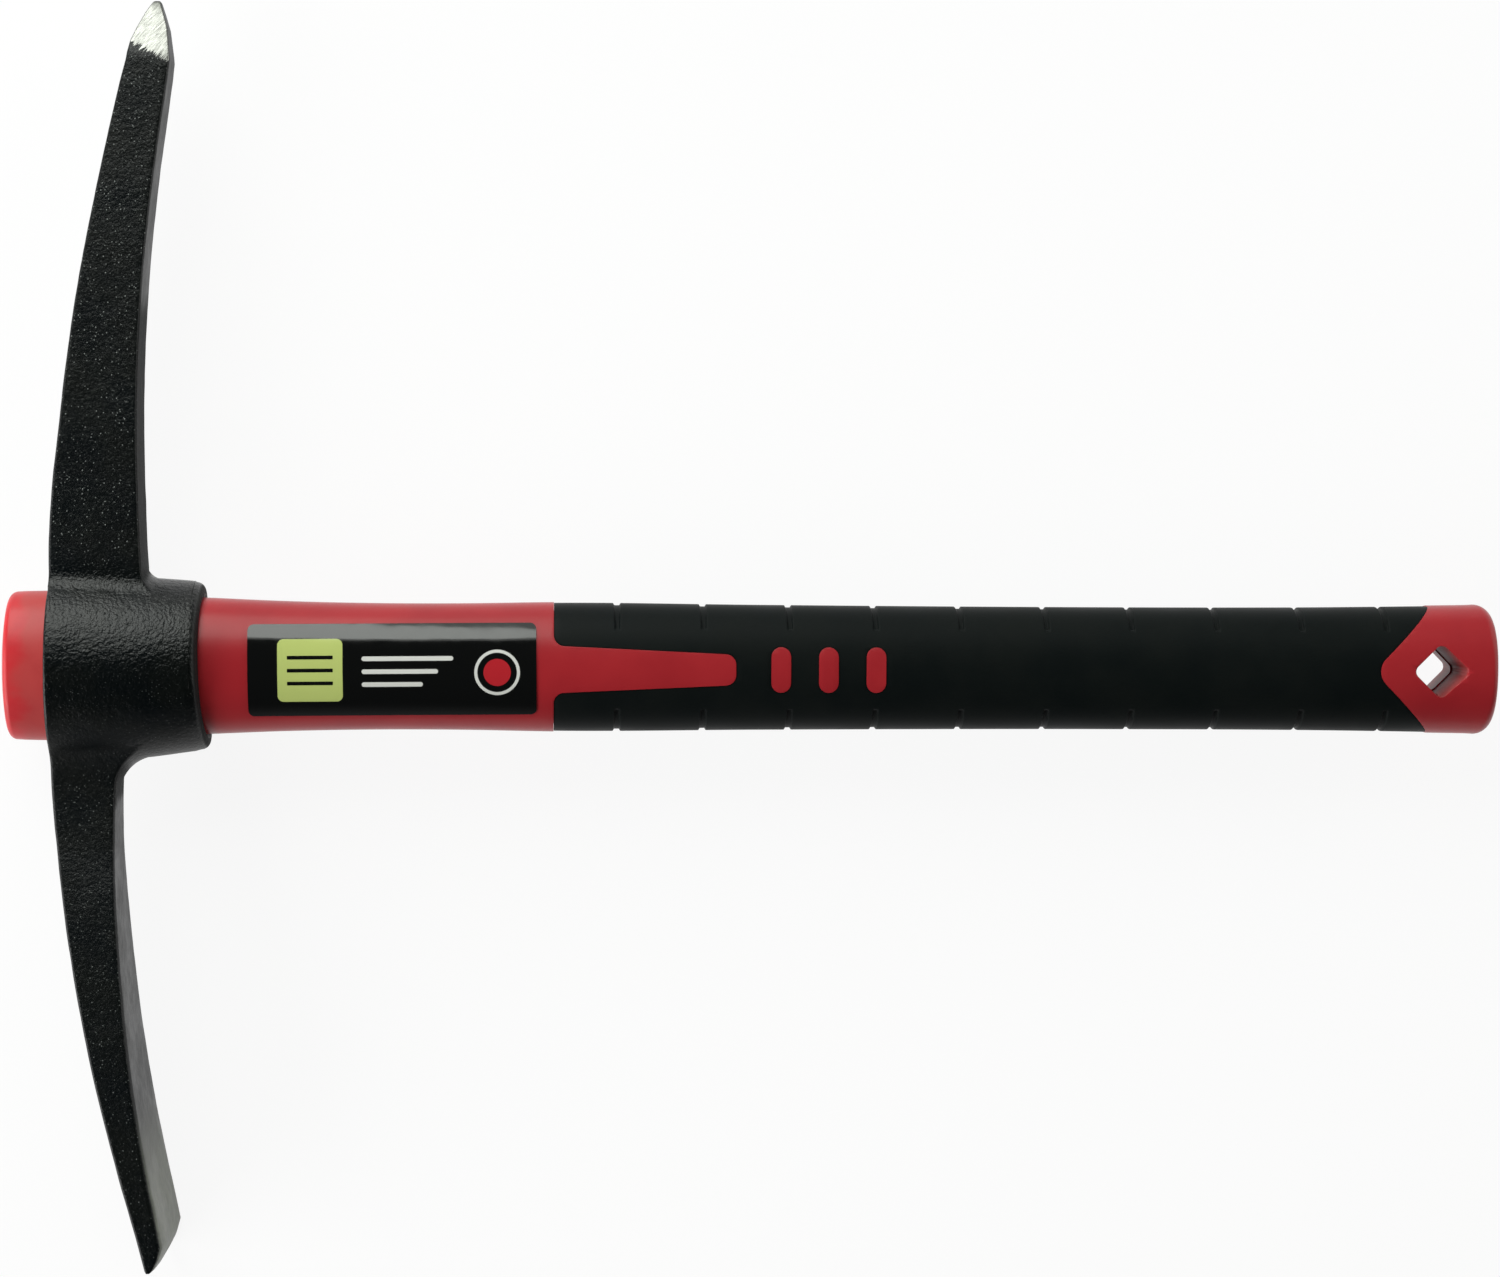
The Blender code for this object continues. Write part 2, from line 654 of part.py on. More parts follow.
def make_label(parts, cutters):
    """A thin sticker that follows the neck's curve."""
    half_length, half_height = LABEL_SIZE[0] / 2 - LABEL_ROUND, LABEL_SIZE[1] / 2 - LABEL_ROUND
    outline = []
    corners = ((1, 1, 0), (-1, 1, 90), (-1, -1, 180), (1, -1, 270))
    for side_x, side_y, start in corners:
        corner = (side_x * half_length, side_y * half_height)
        outline += arc(corner, LABEL_ROUND, start, start + 90, CORNER_STEPS)
    c, s = math.cos(LABEL_TILT), math.sin(LABEL_TILT)
    cx, cy = LABEL_CENTRE
    outline = [(cx + x * c - y * s, cy + x * s + y * c) for x, y in outline]
    start, end = COLLAR_END_X, GRIP_START_X + BEYOND
    label = prism("label", outline, 0, CLEAR_HALF_WIDTH, parts)
    over = handle_skin("label_over", start, end, LABEL_GAP + LABEL_THICKNESS, cutters)
    under = handle_skin("label_under", start, end, LABEL_GAP, cutters)
    boolean(label, "INTERSECT", over)
    boolean(label, "DIFFERENCE", under)
    return label


def add_axis(name, location, collection):
    axis = bpy.data.objects.new(name, None)
    axis.location = location
    collection.objects.link(axis)
    return axis


def main():
    clear_scene()
    parts = new_collection("masons_pick_hammer")
    cutters = new_collection("cutters")
    middle_y = (PICK_REACH - ADZE_REACH) / 2
    axis = add_axis("handle_axis", (-HANDLE_LENGTH / 2, -middle_y, ADZE_WIDTH / 2), parts)
    finish(make_head(parts, cutters), material("forged_black"), axis)
    finish(make_handle_body(parts, cutters), material("red_plastic"), axis)
    finish(make_grip(parts, cutters), material("black_rubber"), axis)
    finish(make_core(parts), material("fibreglass"), axis)
    finish(make_label(parts, cutters), material("sticker"), axis)
    for cutter in cutters.objects:
        cutter.parent = axis
        cutter.hide_render = True
        cutter.display_type = "WIRE"


main()
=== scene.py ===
"""Looks of a mason's pick hammer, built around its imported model.

The head, the handle's moulding, the rubber grip and the sticker are finer meshes that stand where
their solids are. Shapes are drawn about the handle's axis, from the boss end, in metres, and move
to their place by AXIS_START. Materials read each piece's own coordinates, which are the world's at rest.
"""

import math

import bmesh
import bpy
import numpy as np
from mathutils import Matrix, Vector


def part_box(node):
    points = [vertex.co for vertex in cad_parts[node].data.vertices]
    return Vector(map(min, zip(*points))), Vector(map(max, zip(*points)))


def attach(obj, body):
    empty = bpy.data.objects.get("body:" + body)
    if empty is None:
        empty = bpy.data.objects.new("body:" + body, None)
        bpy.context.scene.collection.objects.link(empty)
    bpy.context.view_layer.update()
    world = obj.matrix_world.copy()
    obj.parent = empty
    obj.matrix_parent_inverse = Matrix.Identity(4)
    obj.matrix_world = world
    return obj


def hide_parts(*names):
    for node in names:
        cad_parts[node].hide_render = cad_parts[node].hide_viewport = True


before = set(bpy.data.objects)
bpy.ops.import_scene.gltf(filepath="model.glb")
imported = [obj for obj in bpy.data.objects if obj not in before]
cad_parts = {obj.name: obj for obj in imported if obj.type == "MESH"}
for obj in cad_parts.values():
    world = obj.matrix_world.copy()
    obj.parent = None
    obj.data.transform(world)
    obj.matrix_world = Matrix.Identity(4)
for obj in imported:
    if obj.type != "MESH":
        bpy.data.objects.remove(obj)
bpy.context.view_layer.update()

# The handle's axis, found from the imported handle
body_low, body_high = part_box("handle_body")
HANDLE_LENGTH = 0.400
AXIS_START = Vector((-HANDLE_LENGTH / 2, (body_low.y + body_high.y) / 2, (body_low.z + body_high.z) / 2))

# Handle: distance from the boss end, half height and half width
HEAD_FACE_X = 0.01285
COLLAR_END_X = 0.0534
HANDLE_SECTIONS = (
    (0.0000, 0.0196, 0.0154),
    (HEAD_FACE_X, 0.01985, 0.0155),
    (COLLAR_END_X, 0.01815, 0.01435),
    (0.07465, 0.0173, 0.0137),
    (0.0998, 0.01685, 0.0135),
    (0.1219, 0.0169, 0.01345),
    (0.14505, 0.0173, 0.01355),
    (0.2003, 0.01695, 0.01325),
    (0.28575, 0.01665, 0.01305),
    (0.3511, 0.01685, 0.01305),
    (HANDLE_LENGTH, 0.01755, 0.01315),
)
HANDLE_POWER = 2.25
BOSS_CROWN = 0.094
BOSS_CORNER = 0.0021
BUTT_CROWN = 0.058
BUTT_CORNER = 0.0042
END_SIDE_CORNER = 0.0016
END_SIDE_CROWN = 0.68
CROWN_START = 0.1
CLEAR_HALF_WIDTH = 0.0203
BEYOND = 0.010

# Rubber grip, and the plastic that shows through it
GRIP_START_X = 0.1452
GRIP_THICKNESS = 0.0022
GRIP_SINK = 0.0002
SEAM = 0.00004
V_CORNER_X = 0.36415
V_ROUND = 0.0048
TONGUE_ROOT_HALF = 0.00615
TONGUE_TIP_HALF = 0.00415
TONGUE_END_X = 0.1934
TONGUE_ROOT_ROUND = 0.0029
TONGUE_TIP_ROUND = 0.0028
TONGUE_TIP_ANGLE = 87
INLAY_XS = (0.20535, 0.2180, 0.23065)
INLAY_HALF_HEIGHT = 0.00605
INLAY_HALF_WIDTH = 0.0026
GROOVE_FIRST_X = 0.1620
GROOVE_PITCH = 0.0229
GROOVE_COUNT = 10
GROOVE_HALF_WIDTH = 0.00115
GROOVE_END_HALF_WIDTH = 0.0008
GROOVE_WALL = 0.00045
GROOVE_DEPTH = 0.0006
GROOVE_END_HALF_HEIGHT = 0.0106
EDGE_ROUND = 0.0005

# Hang hole
HOLE_X = 0.38265
HOLE_FACE_HALF = 0.00545
HOLE_MIDDLE_HALF = 0.0048
HOLE_RIM_HALF = 0.0059
HOLE_ROUND = 0.0019
HOLE_RIM_DEPTH = 0.0006
HOLE_RIDGE = 0.0003
RIM_STEPS = 6

# Pocket for the core, closed at the boss's end by a skin of plastic
CORE_START_X = 0.0012
CORE_END_X = 0.3511
LOBE_RADIUS = 0.0042
LOBE_OFFSET = 0.0046
WEB_HALF_WIDTH = 0.0026
CORE_GAP = 0.0003

# Sticker
LABEL_CENTRE = (0.10285, -0.0002)
LABEL_SIZE = (0.0756, 0.0243)
LABEL_TILT = math.radians(0.5)
LABEL_ROUND = 0.0016
LABEL_TOP = 0.00035

# Head: the eye, by distance from the boss end, half height above and below the axis, and half width
EYE_SECTIONS = (
    (HEAD_FACE_X, 0.02505, 0.02595, 0.0211),
    (0.0400, 0.0233, 0.0241, 0.0203),
    (COLLAR_END_X, 0.0223, 0.0222, 0.0195),
)
EYE_POWER = 1.97
EYE_FACE_ROUND = 0.0008
EYE_END_ROUND = 0.0022
EYE_FLANK_ROUND = 0.0015
COLLAR_TILT = 0.032
COLLAR_SETBACK = 0.0017
COLLAR_CAP_SCALES = (0.75, 0.82, 0.88, 0.94)
BORE_CHAMFER = 0.0008
BORE_GAP = 0.0003
ARM_ROOT_HALF_WIDTH = 0.00935
ARM_FLAT_END_Y = 0.060
PICK_FILLET = 0.0040
ADZE_FILLET = 0.0085
FLANK_FILLET = 0.00605
FLANK_FILLET_ANGLE = 50
FILLET_SINK = 0.0001
FILLET_X = 0.0385
ROOT_MIDDLE_X = 0.0254
ROOT_INSIDE = 0.0025
ROOT_END_Y = 0.04425
ARM_ROUND = 0.0008
ADZE_EDGE_ROUND = 0.0016
ADZE_WIDTH = 0.04425
EDGE_BOW = 0.0008
EDGE_SKEW = 0.0006
EDGE_LEAN = 0.285
EDGE_FADE = 0.012
ADZE_SPREAD = (0.036, 0.140)
TIP_EDGE_SHARE = 0.3

# Edges of the arms in side view: distance from the axis, outer edge and inner edge from the boss end
PICK_EDGES = (
    (0.0201, 0.01285, 0.0375),
    (0.03315, 0.01285, 0.03665),
    (0.04525, 0.01355, 0.03615),
    (0.06335, 0.01555, 0.03585),
    (0.09045, 0.0189, 0.0366),
    (0.12265, 0.0247, 0.0394),
    (0.1525, 0.0312, 0.0435),
    (0.1593, 0.0329, 0.0444),
)
ADZE_EDGES = (
    (0.0201, 0.01285, 0.0310),
    (0.0342, 0.0135, 0.0301),
    (0.04925, 0.01515, 0.03005),
    (0.0764, 0.0190, 0.03175),
    (0.10455, 0.0246, 0.03485),
    (0.12965, 0.0310, 0.0390),
    (0.1528, 0.0376, 0.0438),
)
# Distance from the axis and half width across the arms
PICK_HALF_WIDTHS = ((ARM_FLAT_END_Y, ARM_ROOT_HALF_WIDTH), (0.1105, 0.00835), (0.1593, 0.00665))
ADZE_HALF_WIDTHS = (
    (0.0201, 0.00935),
    (0.0342, 0.00935),
    (0.04525, 0.01055),
    (0.0623, 0.01355),
    (0.08745, 0.0168),
    (0.1206, 0.0203),
    (0.1528, 0.0220),
)
# Ground point of the pick: distance from the axis, outer edge, inner edge and half width
PICK_POINT = (
    (0.1612, 0.0333, 0.04425, 0.00645),
    (0.16435, 0.03405, 0.04395, 0.00535),
    (0.16785, 0.03565, 0.0436, 0.0044),
    (0.1719, 0.0378, 0.0425, 0.0033),
    (0.1742, 0.0393, 0.0418, 0.0024),
    (0.1748, 0.0397, 0.0416, 0.0020),
    (0.1750, 0.0401, 0.0413, 0.0016),
)
POINT_ROUND = 0.0004
# Cutting bevel of the adze, as for the point
ADZE_BEVEL = (
    (0.1563, 0.0385, 0.0428, ADZE_WIDTH / 2),
    (0.1589, 0.0392, 0.0413, ADZE_WIDTH / 2),
    (0.1596, 0.0396, 0.0405, ADZE_WIDTH / 2),
)
# Where the coating ends and the ground point starts: a slanted line across the arm's side
GROUND_OUTER_X = 0.0335
GROUND_OUTER_Y = 0.1640
GROUND_SLOPE = 0.476
# The forging's uneven skin: size and depth of its broad and its fine unevenness, the value of the
# handle's oval (1 on the handle) over which it starts, and the height over which it ends below the
# ground point
HAMMERED = (0.009, 0.0002)
SCALE = (0.005, 0.00007)
SKIN_START = (1.3, 1.5)
SKIN_FADE = 0.003

# Fineness of the handle's meshes
HANDLE_POINTS = 216
HANDLE_STEP = 0.002
GROOVE_STEPS = 14
ARC_STEPS = 12
EYE_POINTS = 180
EYE_STEP = 0.0012
ARM_STEP = 0.0012
FILLET_STEPS = 16
FLANK_RING_COUNT = 8
BAR_CORNER_STEPS = 6
BAR_SIDE_STEPS = 12

CAMERA_PLACE = Vector((-0.05462, 0.04464, 0.93471))
CAMERA_AIM = Vector((-0.00225, -0.00018, 0.02213))
CAMERA_ROLL = math.radians(0.34)
CAMERA_LENS = 81.89


def smooth_rows(rows, places):
    """Rows of (place, value, ...) read at new places, on a smooth curve through them."""
    rows = np.array(rows)
    knots = rows[:, 0]
    slopes = np.gradient(rows, knots, axis=0)
    read = []
    for place in places:
        i = int(np.clip(np.searchsorted(knots, place) - 1, 0, len(knots) - 2))
        span = knots[i + 1] - knots[i]
        t = (place - knots[i]) / span
        start = rows[i] * (1 + 2 * t) * (1 - t) ** 2 + slopes[i] * span * t * (1 - t) ** 2
        end = rows[i + 1] * t * t * (3 - 2 * t) + slopes[i + 1] * span * t * t * (t - 1)
        read.append(start + end)
    return np.array(read)


def arc(centre, radius, start, end, steps=ARC_STEPS):
    """Points of an arc in a plane, with angles in degrees."""
    angles = np.radians(np.linspace(start, end, steps + 1))
    return [(centre[0] + radius * math.cos(a), centre[1] + radius * math.sin(a)) for a in angles]


def oval(x, half_height, half_width, power=HANDLE_POWER, count=HANDLE_POINTS):
    """A ring across the handle's axis, rounder at power 2 and squarer above it."""
    ring = []
    for i in range(count):
        angle = 2 * math.pi * i / count
        c, s = math.cos(angle), math.sin(angle)
        y = half_height * math.copysign(abs(c) ** (2 / power), c)
        z = half_width * math.copysign(abs(s) ** (2 / power), s)
        ring.append((x, y, z))
    return ring


def handle_size(x):
    """Half height and half width of the handle; the boss tapers straight through the eye."""
    if x <= COLLAR_END_X:
        rows = np.array(HANDLE_SECTIONS[1:3] if x > HEAD_FACE_X else HANDLE_SECTIONS[:2])
        return np.interp(x, rows[:, 0], rows[:, 1]), np.interp(x, rows[:, 0], rows[:, 2])
    _, half_height, half_width = smooth_rows(HANDLE_SECTIONS, [min(x, HANDLE_LENGTH)])[0]
    return half_height, half_width


def handle_ring(x, grow=0.0):
    half_height, half_width = handle_size(x)
    return oval(x, half_height + grow, half_width + grow)


def add_mesh(name, mesh):
    """A bmesh as an object in the scene, moved from the tool's own frame to its place."""
    mesh.transform(Matrix.Translation(AXIS_START))
    data = bpy.data.meshes.new(name)
    mesh.to_mesh(data)
    mesh.free()
    obj = bpy.data.objects.new(name, data)
    bpy.context.scene.collection.objects.link(obj)
    return obj


def loft(name, rings):
    """A closed solid through rings of equal count."""
    mesh = bmesh.new()
    rows = [[mesh.verts.new(point) for point in ring] for ring in rings]
    count = len(rows[0])
    for low, high in zip(rows, rows[1:]):
        for i in range(count):
            j = (i + 1) % count
            mesh.faces.new((low[i], low[j], high[j], high[i]))
    mesh.faces.new(rows[0])
    mesh.faces.new(rows[-1])
    bmesh.ops.recalc_face_normals(mesh, faces=mesh.faces)
    return add_mesh(name, mesh)


def prism(name, outline, low, high):
    """An outline in the XY plane as a solid from one height to another."""
    return loft(name, [[(x, y, z) for x, y in outline] for z in (low, high)])


def skin(name, start, end, grow):
    """A stretch of the handle, grown or shrunk all round."""
    places = np.linspace(start, end, round((end - start) / HANDLE_STEP) + 1)
    return loft(name, [handle_ring(x, grow) for x in places])


def apply_modifiers(obj):
    """Keeps the shape that the modifiers make, and drops them."""
    graph = bpy.context.evaluated_depsgraph_get()
    made = bpy.data.meshes.new_from_object(obj.evaluated_get(graph))
    obj.modifiers.clear()
    obj.data = made


def combine(obj, operation, *others):
    """Boolean operations with closed helpers, which are then removed."""
    for other in others:
        modifier = obj.modifiers.new(other.name, "BOOLEAN")
        modifier.operation = operation
        modifier.object = other
        modifier.solver = "MANIFOLD"
    apply_modifiers(obj)
    for other in others:
        bpy.data.objects.remove(other, do_unlink=True)
    return obj


def shade(obj, degrees):
    obj.data.shade_smooth()
    obj.data.set_sharp_from_angle(angle=math.radians(degrees))


def round_edges(obj, width, degrees, segments=3):
    """Small round edges wherever faces meet more sharply than an angle."""
    modifier = obj.modifiers.new("round_edges", "BEVEL")
    modifier.limit_method = "ANGLE"
    modifier.angle_limit = math.radians(degrees)
    modifier.width = width
    modifier.segments = segments
    modifier.use_clamp_overlap = True
    apply_modifiers(obj)


def end_profile(half, crown, corner):
    """Depth and reach of points along a crowned end with a round corner, from its middle outward."""
    corner_y = half - corner
    corner_depth = crown - math.sqrt((crown - corner) ** 2 - corner_y**2)
    meet = math.degrees(math.asin(corner_y / (crown - corner)))
    profile = [(crown - x, y) for x, y in arc((0, 0), crown, meet * CROWN_START, meet)[:-1]]
    rounded = arc((0, 0), corner, meet, 90)
    return profile + [(corner_depth - a, corner_y + b) for a, b in rounded]


def crowned_end_rings(end_x, inward, crown, corner):
    """Rings of a crowned end from its middle outward; its crown and corner are tighter across its
    thickness."""
    half_height, half_width = handle_size(end_x)
    heights = end_profile(half_height, crown, corner)
    widths = end_profile(half_width, crown * END_SIDE_CROWN, END_SIDE_CORNER)
    rings = []
    for (depth, height), (side_depth, width) in zip(heights, widths):
        ring = []
        for _, c, s in oval(0, 1.0, 1.0):
            share = s * s / (c * c + s * s)
            x = end_x + inward * (depth + (side_depth - depth) * share)
            ring.append((x, height * c, width * s))
        rings.append(ring)
    return rings


def grip_outline(gap):
    """The rubber's outline in side view: round the tongue at one end and along the V at the other."""
    side = HANDLE_SECTIONS[0][1] + BEYOND
    start_x = GRIP_START_X + gap
    v_centre = (V_CORNER_X + V_ROUND * math.sqrt(2), 0)
    v_side_x = V_CORNER_X - gap * math.sqrt(2) + side
    root_corner = (GRIP_START_X + TONGUE_ROOT_ROUND, TONGUE_ROOT_HALF + TONGUE_ROOT_ROUND)
    tip_corner = (TONGUE_END_X - TONGUE_TIP_ROUND, TONGUE_TIP_HALF - TONGUE_TIP_ROUND)
    upper_tongue = arc(root_corner, TONGUE_ROOT_ROUND - gap, 180, 270)
    upper_tongue += arc(tip_corner, TONGUE_TIP_ROUND + gap, TONGUE_TIP_ANGLE, 0)
    lower_tongue = [(x, -y) for x, y in upper_tongue[::-1]]
    outline = [(start_x, side)] + upper_tongue + lower_tongue + [(start_x, -side), (v_side_x, -side)]
    outline += arc(v_centre, V_ROUND + gap, 225, 135)
    outline.append((v_side_x, side))
    return outline


def grip_zone(name, gap, core_grow):
    """The room that the rubber fills: its outline, less the plastic core and the inlays."""
    zone = prism(name, grip_outline(gap), -CLEAR_HALF_WIDTH, CLEAR_HALF_WIDTH)
    core = skin("core_room", GRIP_START_X - BEYOND, HANDLE_LENGTH, core_grow - GRIP_THICKNESS)
    inlays = [
        prism(f"inlay_{i}", inlay_outline(x, gap), 0, CLEAR_HALF_WIDTH + BEYOND)
        for i, x in enumerate(INLAY_XS)
    ]
    return combine(zone, "DIFFERENCE", core, *inlays)


def inlay_outline(centre_x, gap):
    """A plain pill shape, upright across the grip."""
    radius = INLAY_HALF_WIDTH + gap
    straight = INLAY_HALF_HEIGHT - INLAY_HALF_WIDTH
    top = arc((centre_x, straight), radius, 0, 180)
    return top + [(2 * centre_x - x, -y) for x, y in top]


def lobe_ring(x, grow=0.0):
    """The core's twin-lobed section."""
    radius = LOBE_RADIUS + grow
    web = math.degrees(math.asin((WEB_HALF_WIDTH + grow) / radius))
    upper = arc((LOBE_OFFSET, 0), radius, web - 180, 180 - web, 2 * ARC_STEPS)
    lower = [(-y, -z) for y, z in upper]
    return [(x, y, z) for y, z in upper + lower]


def hole_ring(z, half):
    """A square on its corner with rounded corners, at one height."""
    reach = (half - HOLE_ROUND) * math.sqrt(2)
    ring = []
    for turn in (0, 90, 180, 270):
        angle = math.radians(turn)
        corner = (HOLE_X + reach * math.cos(angle), reach * math.sin(angle))
        ring += arc(corner, HOLE_ROUND, turn - 45, turn + 45)
    return [(x, y, z) for x, y in ring]


def hang_hole():
    """The hole's shape, with draft from the parting line and a rounded rim on both faces."""
    surface = handle_size(HOLE_X)[1]
    flare = HOLE_RIM_HALF - HOLE_FACE_HALF
    half_sizes = [(0, HOLE_MIDDLE_HALF - HOLE_RIDGE), (HOLE_RIDGE, HOLE_MIDDLE_HALF)]
    for angle in np.linspace(0, math.pi / 2, RIM_STEPS):
        z = surface - HOLE_RIM_DEPTH * (1 - math.sin(angle))
        half_sizes.append((z, HOLE_FACE_HALF + flare * (1 - math.cos(angle))))
    half_sizes.append((surface + HOLE_RIM_HALF, 2 * HOLE_RIM_HALF))
    upper = [hole_ring(z, half) for z, half in half_sizes]
    lower = [hole_ring(-z, half) for z, half in half_sizes[:0:-1]]
    return loft("hang_hole", lower + upper)


def make_moulding():
    """The red plastic: boss, neck, tongue, inlays and butt over the core."""
    boss = crowned_end_rings(0, 1, BOSS_CROWN, BOSS_CORNER)
    butt = crowned_end_rings(HANDLE_LENGTH, -1, BUTT_CROWN, BUTT_CORNER)
    start, end = boss[-1][0][0] + HANDLE_STEP, butt[-1][0][0] - HANDLE_STEP
    places = list(np.linspace(start, end, round((end - start) / HANDLE_STEP)))
    middle = [handle_ring(x) for x in sorted(places + [HEAD_FACE_X, COLLAR_END_X])]
    moulding = loft("handle_moulding", boss + middle + butt[::-1])
    pocket_ends = (CORE_START_X - CORE_GAP, CORE_END_X + CORE_GAP)
    pocket = loft("pocket", [lobe_ring(x, CORE_GAP) for x in pocket_ends])
    combine(moulding, "DIFFERENCE", grip_zone("room", 0.0, 0.0), hang_hole())
    round_edges(moulding, EDGE_ROUND, degrees=50)
    combine(moulding, "DIFFERENCE", pocket)
    keep_inside(moulding, "handle_body")
    shade(moulding, degrees=40)
    return moulding


def groove_inset(x, y):
    """How deep the grip's edge grooves are at a place on its surface."""
    nearest = np.clip(round((x - GROOVE_FIRST_X) / GROOVE_PITCH), 0, GROOVE_COUNT - 1)
    across = abs(x - GROOVE_FIRST_X - nearest * GROOVE_PITCH)
    along = abs(y) - GROOVE_END_HALF_HEIGHT
    half_heights = (0, HANDLE_SECTIONS[0][1] - GROOVE_END_HALF_HEIGHT)
    half_width = np.interp(along, half_heights, (GROOVE_END_HALF_WIDTH, GROOVE_HALF_WIDTH))
    inward = min(half_width - across, along) / GROOVE_WALL
    share = min(max(inward, 0.0), 1.0)
    return GROOVE_DEPTH * share * share * (3 - 2 * share)


def make_sleeve():
    """The rubber sleeve with its shallow edge grooves."""
    end_x = V_CORNER_X + HANDLE_SECTIONS[0][1] + BEYOND
    places = np.arange(GRIP_START_X - BEYOND, end_x, HANDLE_STEP)
    steps = np.linspace(-GROOVE_HALF_WIDTH, GROOVE_HALF_WIDTH, GROOVE_STEPS + 1)
    for i in range(GROOVE_COUNT):
        middle = GROOVE_FIRST_X + i * GROOVE_PITCH
        clear = np.abs(places - middle) > GROOVE_HALF_WIDTH + HANDLE_STEP / 4
        places = np.concatenate((places[clear], middle + steps))
    rings = []
    for x in sorted(places):
        ring = []
        for px, py, pz in handle_ring(x, -GRIP_SINK):
            length = math.hypot(py, pz)
            scale = 1 - groove_inset(px, py) / length
            ring.append((px, py * scale, pz * scale))
        rings.append(ring)
    sleeve = loft("grip_sleeve", rings)
    combine(sleeve, "INTERSECT", grip_zone("sleeve_room", SEAM, SEAM))
    round_edges(sleeve, EDGE_ROUND / 2, degrees=60, segments=2)
    shade(sleeve, degrees=50)
    return sleeve


def make_sticker():
    """The thin sticker that follows the neck."""
    half_length, half_height = LABEL_SIZE[0] / 2 - LABEL_ROUND, LABEL_SIZE[1] / 2 - LABEL_ROUND
    outline = []
    corners = ((1, 1, 0), (-1, 1, 90), (-1, -1, 180), (1, -1, 270))
    for side_x, side_y, start in corners:
        corner = (side_x * half_length, side_y * half_height)
        outline += arc(corner, LABEL_ROUND, start, start + 90)
    c, s = math.cos(LABEL_TILT), math.sin(LABEL_TILT)
    cx, cy = LABEL_CENTRE
    outline = [(cx + x * c - y * s, cy + x * s + y * c) for x, y in outline]
    start, end = COLLAR_END_X, GRIP_START_X + BEYOND
    sticker = prism("neck_sticker", outline, 0, CLEAR_HALF_WIDTH)
    combine(sticker, "INTERSECT", skin("over", start, end, LABEL_TOP))
    combine(sticker, "DIFFERENCE", skin("under", start - BEYOND, end + BEYOND, SEAM))
    shade(sticker, degrees=40)
    return sticker


def bar_ring(y, outer_x, inner_x, half_width, outer_round, inner_round):
    """A ring across an arm, with rounded outer and inner corners."""
    corners = (
        (outer_x, -half_width, outer_round, 270),
        (outer_x, half_width, outer_round, 180),
        (inner_x, half_width, inner_round, 90),
        (inner_x, -half_width, inner_round, 0),
    )
    pieces = []
    for corner_x, corner_z, radius, start in corners:
        centre = (
            corner_x + math.copysign(radius, outer_x + inner_x - 2 * corner_x),
            corner_z - math.copysign(radius, corner_z),
        )
        pieces.append(np.array(arc(centre, radius, start, start - 90, BAR_CORNER_STEPS)))
    ring = []
    for piece, following in zip(pieces, pieces[1:] + pieces[:1]):
        side = np.linspace(piece[-1], following[0], BAR_SIDE_STEPS + 1)[1:-1]
        ring += [(x, y, z) for x, z in (*piece, *side)]
    return ring


def fillet_depth(height, radius):
    """How far a fillet of this radius stands out at a height above the face that it runs into."""
    rise = min(max(height, 0.0), radius)
    return radius - math.sqrt(radius**2 - (radius - rise) ** 2)


def eye_surface(x, z, side):
    """Distance from the axis to the eye's oval above it (side 1) or below it (side -1)."""
    _, upper, lower, half_width = smooth_rows(EYE_SECTIONS, [x])[0]
    half_height = upper if side > 0 else lower
    return half_height * (1 - (abs(z) / half_width) ** EYE_POWER) ** (1 / EYE_POWER)


def flank_curve(side):
    """Pairs of place and half width where an arm's flank curves out into the eye's oval."""
    top = eye_surface(FILLET_X, 0, side)
    angles = np.radians(np.linspace(FLANK_FILLET_ANGLE, 0, FLANK_RING_COUNT))
    widths = ARM_ROOT_HALF_WIDTH + FLANK_FILLET * (1 - np.cos(angles))
    meet_y = eye_surface(ROOT_MIDDLE_X, widths[0], side)
    pairs = []
    for angle, half_width in zip(angles, widths):
        y = meet_y + FLANK_FILLET * (math.sin(angles[0]) - math.sin(angle))
        pairs.append((y + top - eye_surface(ROOT_MIDDLE_X, half_width, side), half_width))
    return np.array(pairs)


def arm_places(fillet, side, end):
    """Distances from the axis for an arm's rings, close together round its fillets."""
    top = eye_surface(FILLET_X, 0, side) - FILLET_SINK
    angles = np.radians(np.linspace(0, 90, FILLET_STEPS + 1))
    root = [top - ROOT_INSIDE] + list(top + fillet * (1 - np.cos(angles))) + list(flank_curve(side)[:, 0])
    rest = np.linspace(max(root), end, round((end - max(root)) / ARM_STEP) + 1)[1:]
    return sorted(root) + list(rest)


def root_ring(row, half_width, fillet, side, inner_round=ARM_ROUND):
    """A ring across an arm, bent near its root so that its fillets follow the eye's oval."""
    place, outer_x, inner_x = row
    top = eye_surface(FILLET_X, 0, side)
    flank = flank_curve(side)
    half_width = max(half_width, np.interp(place, flank[:, 0], flank[:, 1], right=0.0))
    outer_round = np.interp(place, (top, flank[-1, 0]), (EYE_FACE_ROUND, ARM_ROUND))
    outer_x = max(outer_x, HEAD_FACE_X)
    inner_x += fillet_depth(place - top + FILLET_SINK, fillet)
    ring = bar_ring(place, outer_x, inner_x, half_width, outer_round, inner_round)
    bend = np.interp(place, (top + fillet, ROOT_END_Y), (1.0, 0.0))
    if not bend:
        return ring
    return [(x, y - bend * (top - eye_surface(x, z, side)), z) for x, y, z in ring]


def tip_ring(y, outer_x, inner_x, half_width, rounding):
    """A ring across the end of an arm, with edges in proportion to its thickness."""
    edge = min(rounding, TIP_EDGE_SHARE * (inner_x - outer_x), TIP_EDGE_SHARE * half_width)
    return bar_ring(y, outer_x, inner_x, half_width, min(edge, ARM_ROUND), edge)


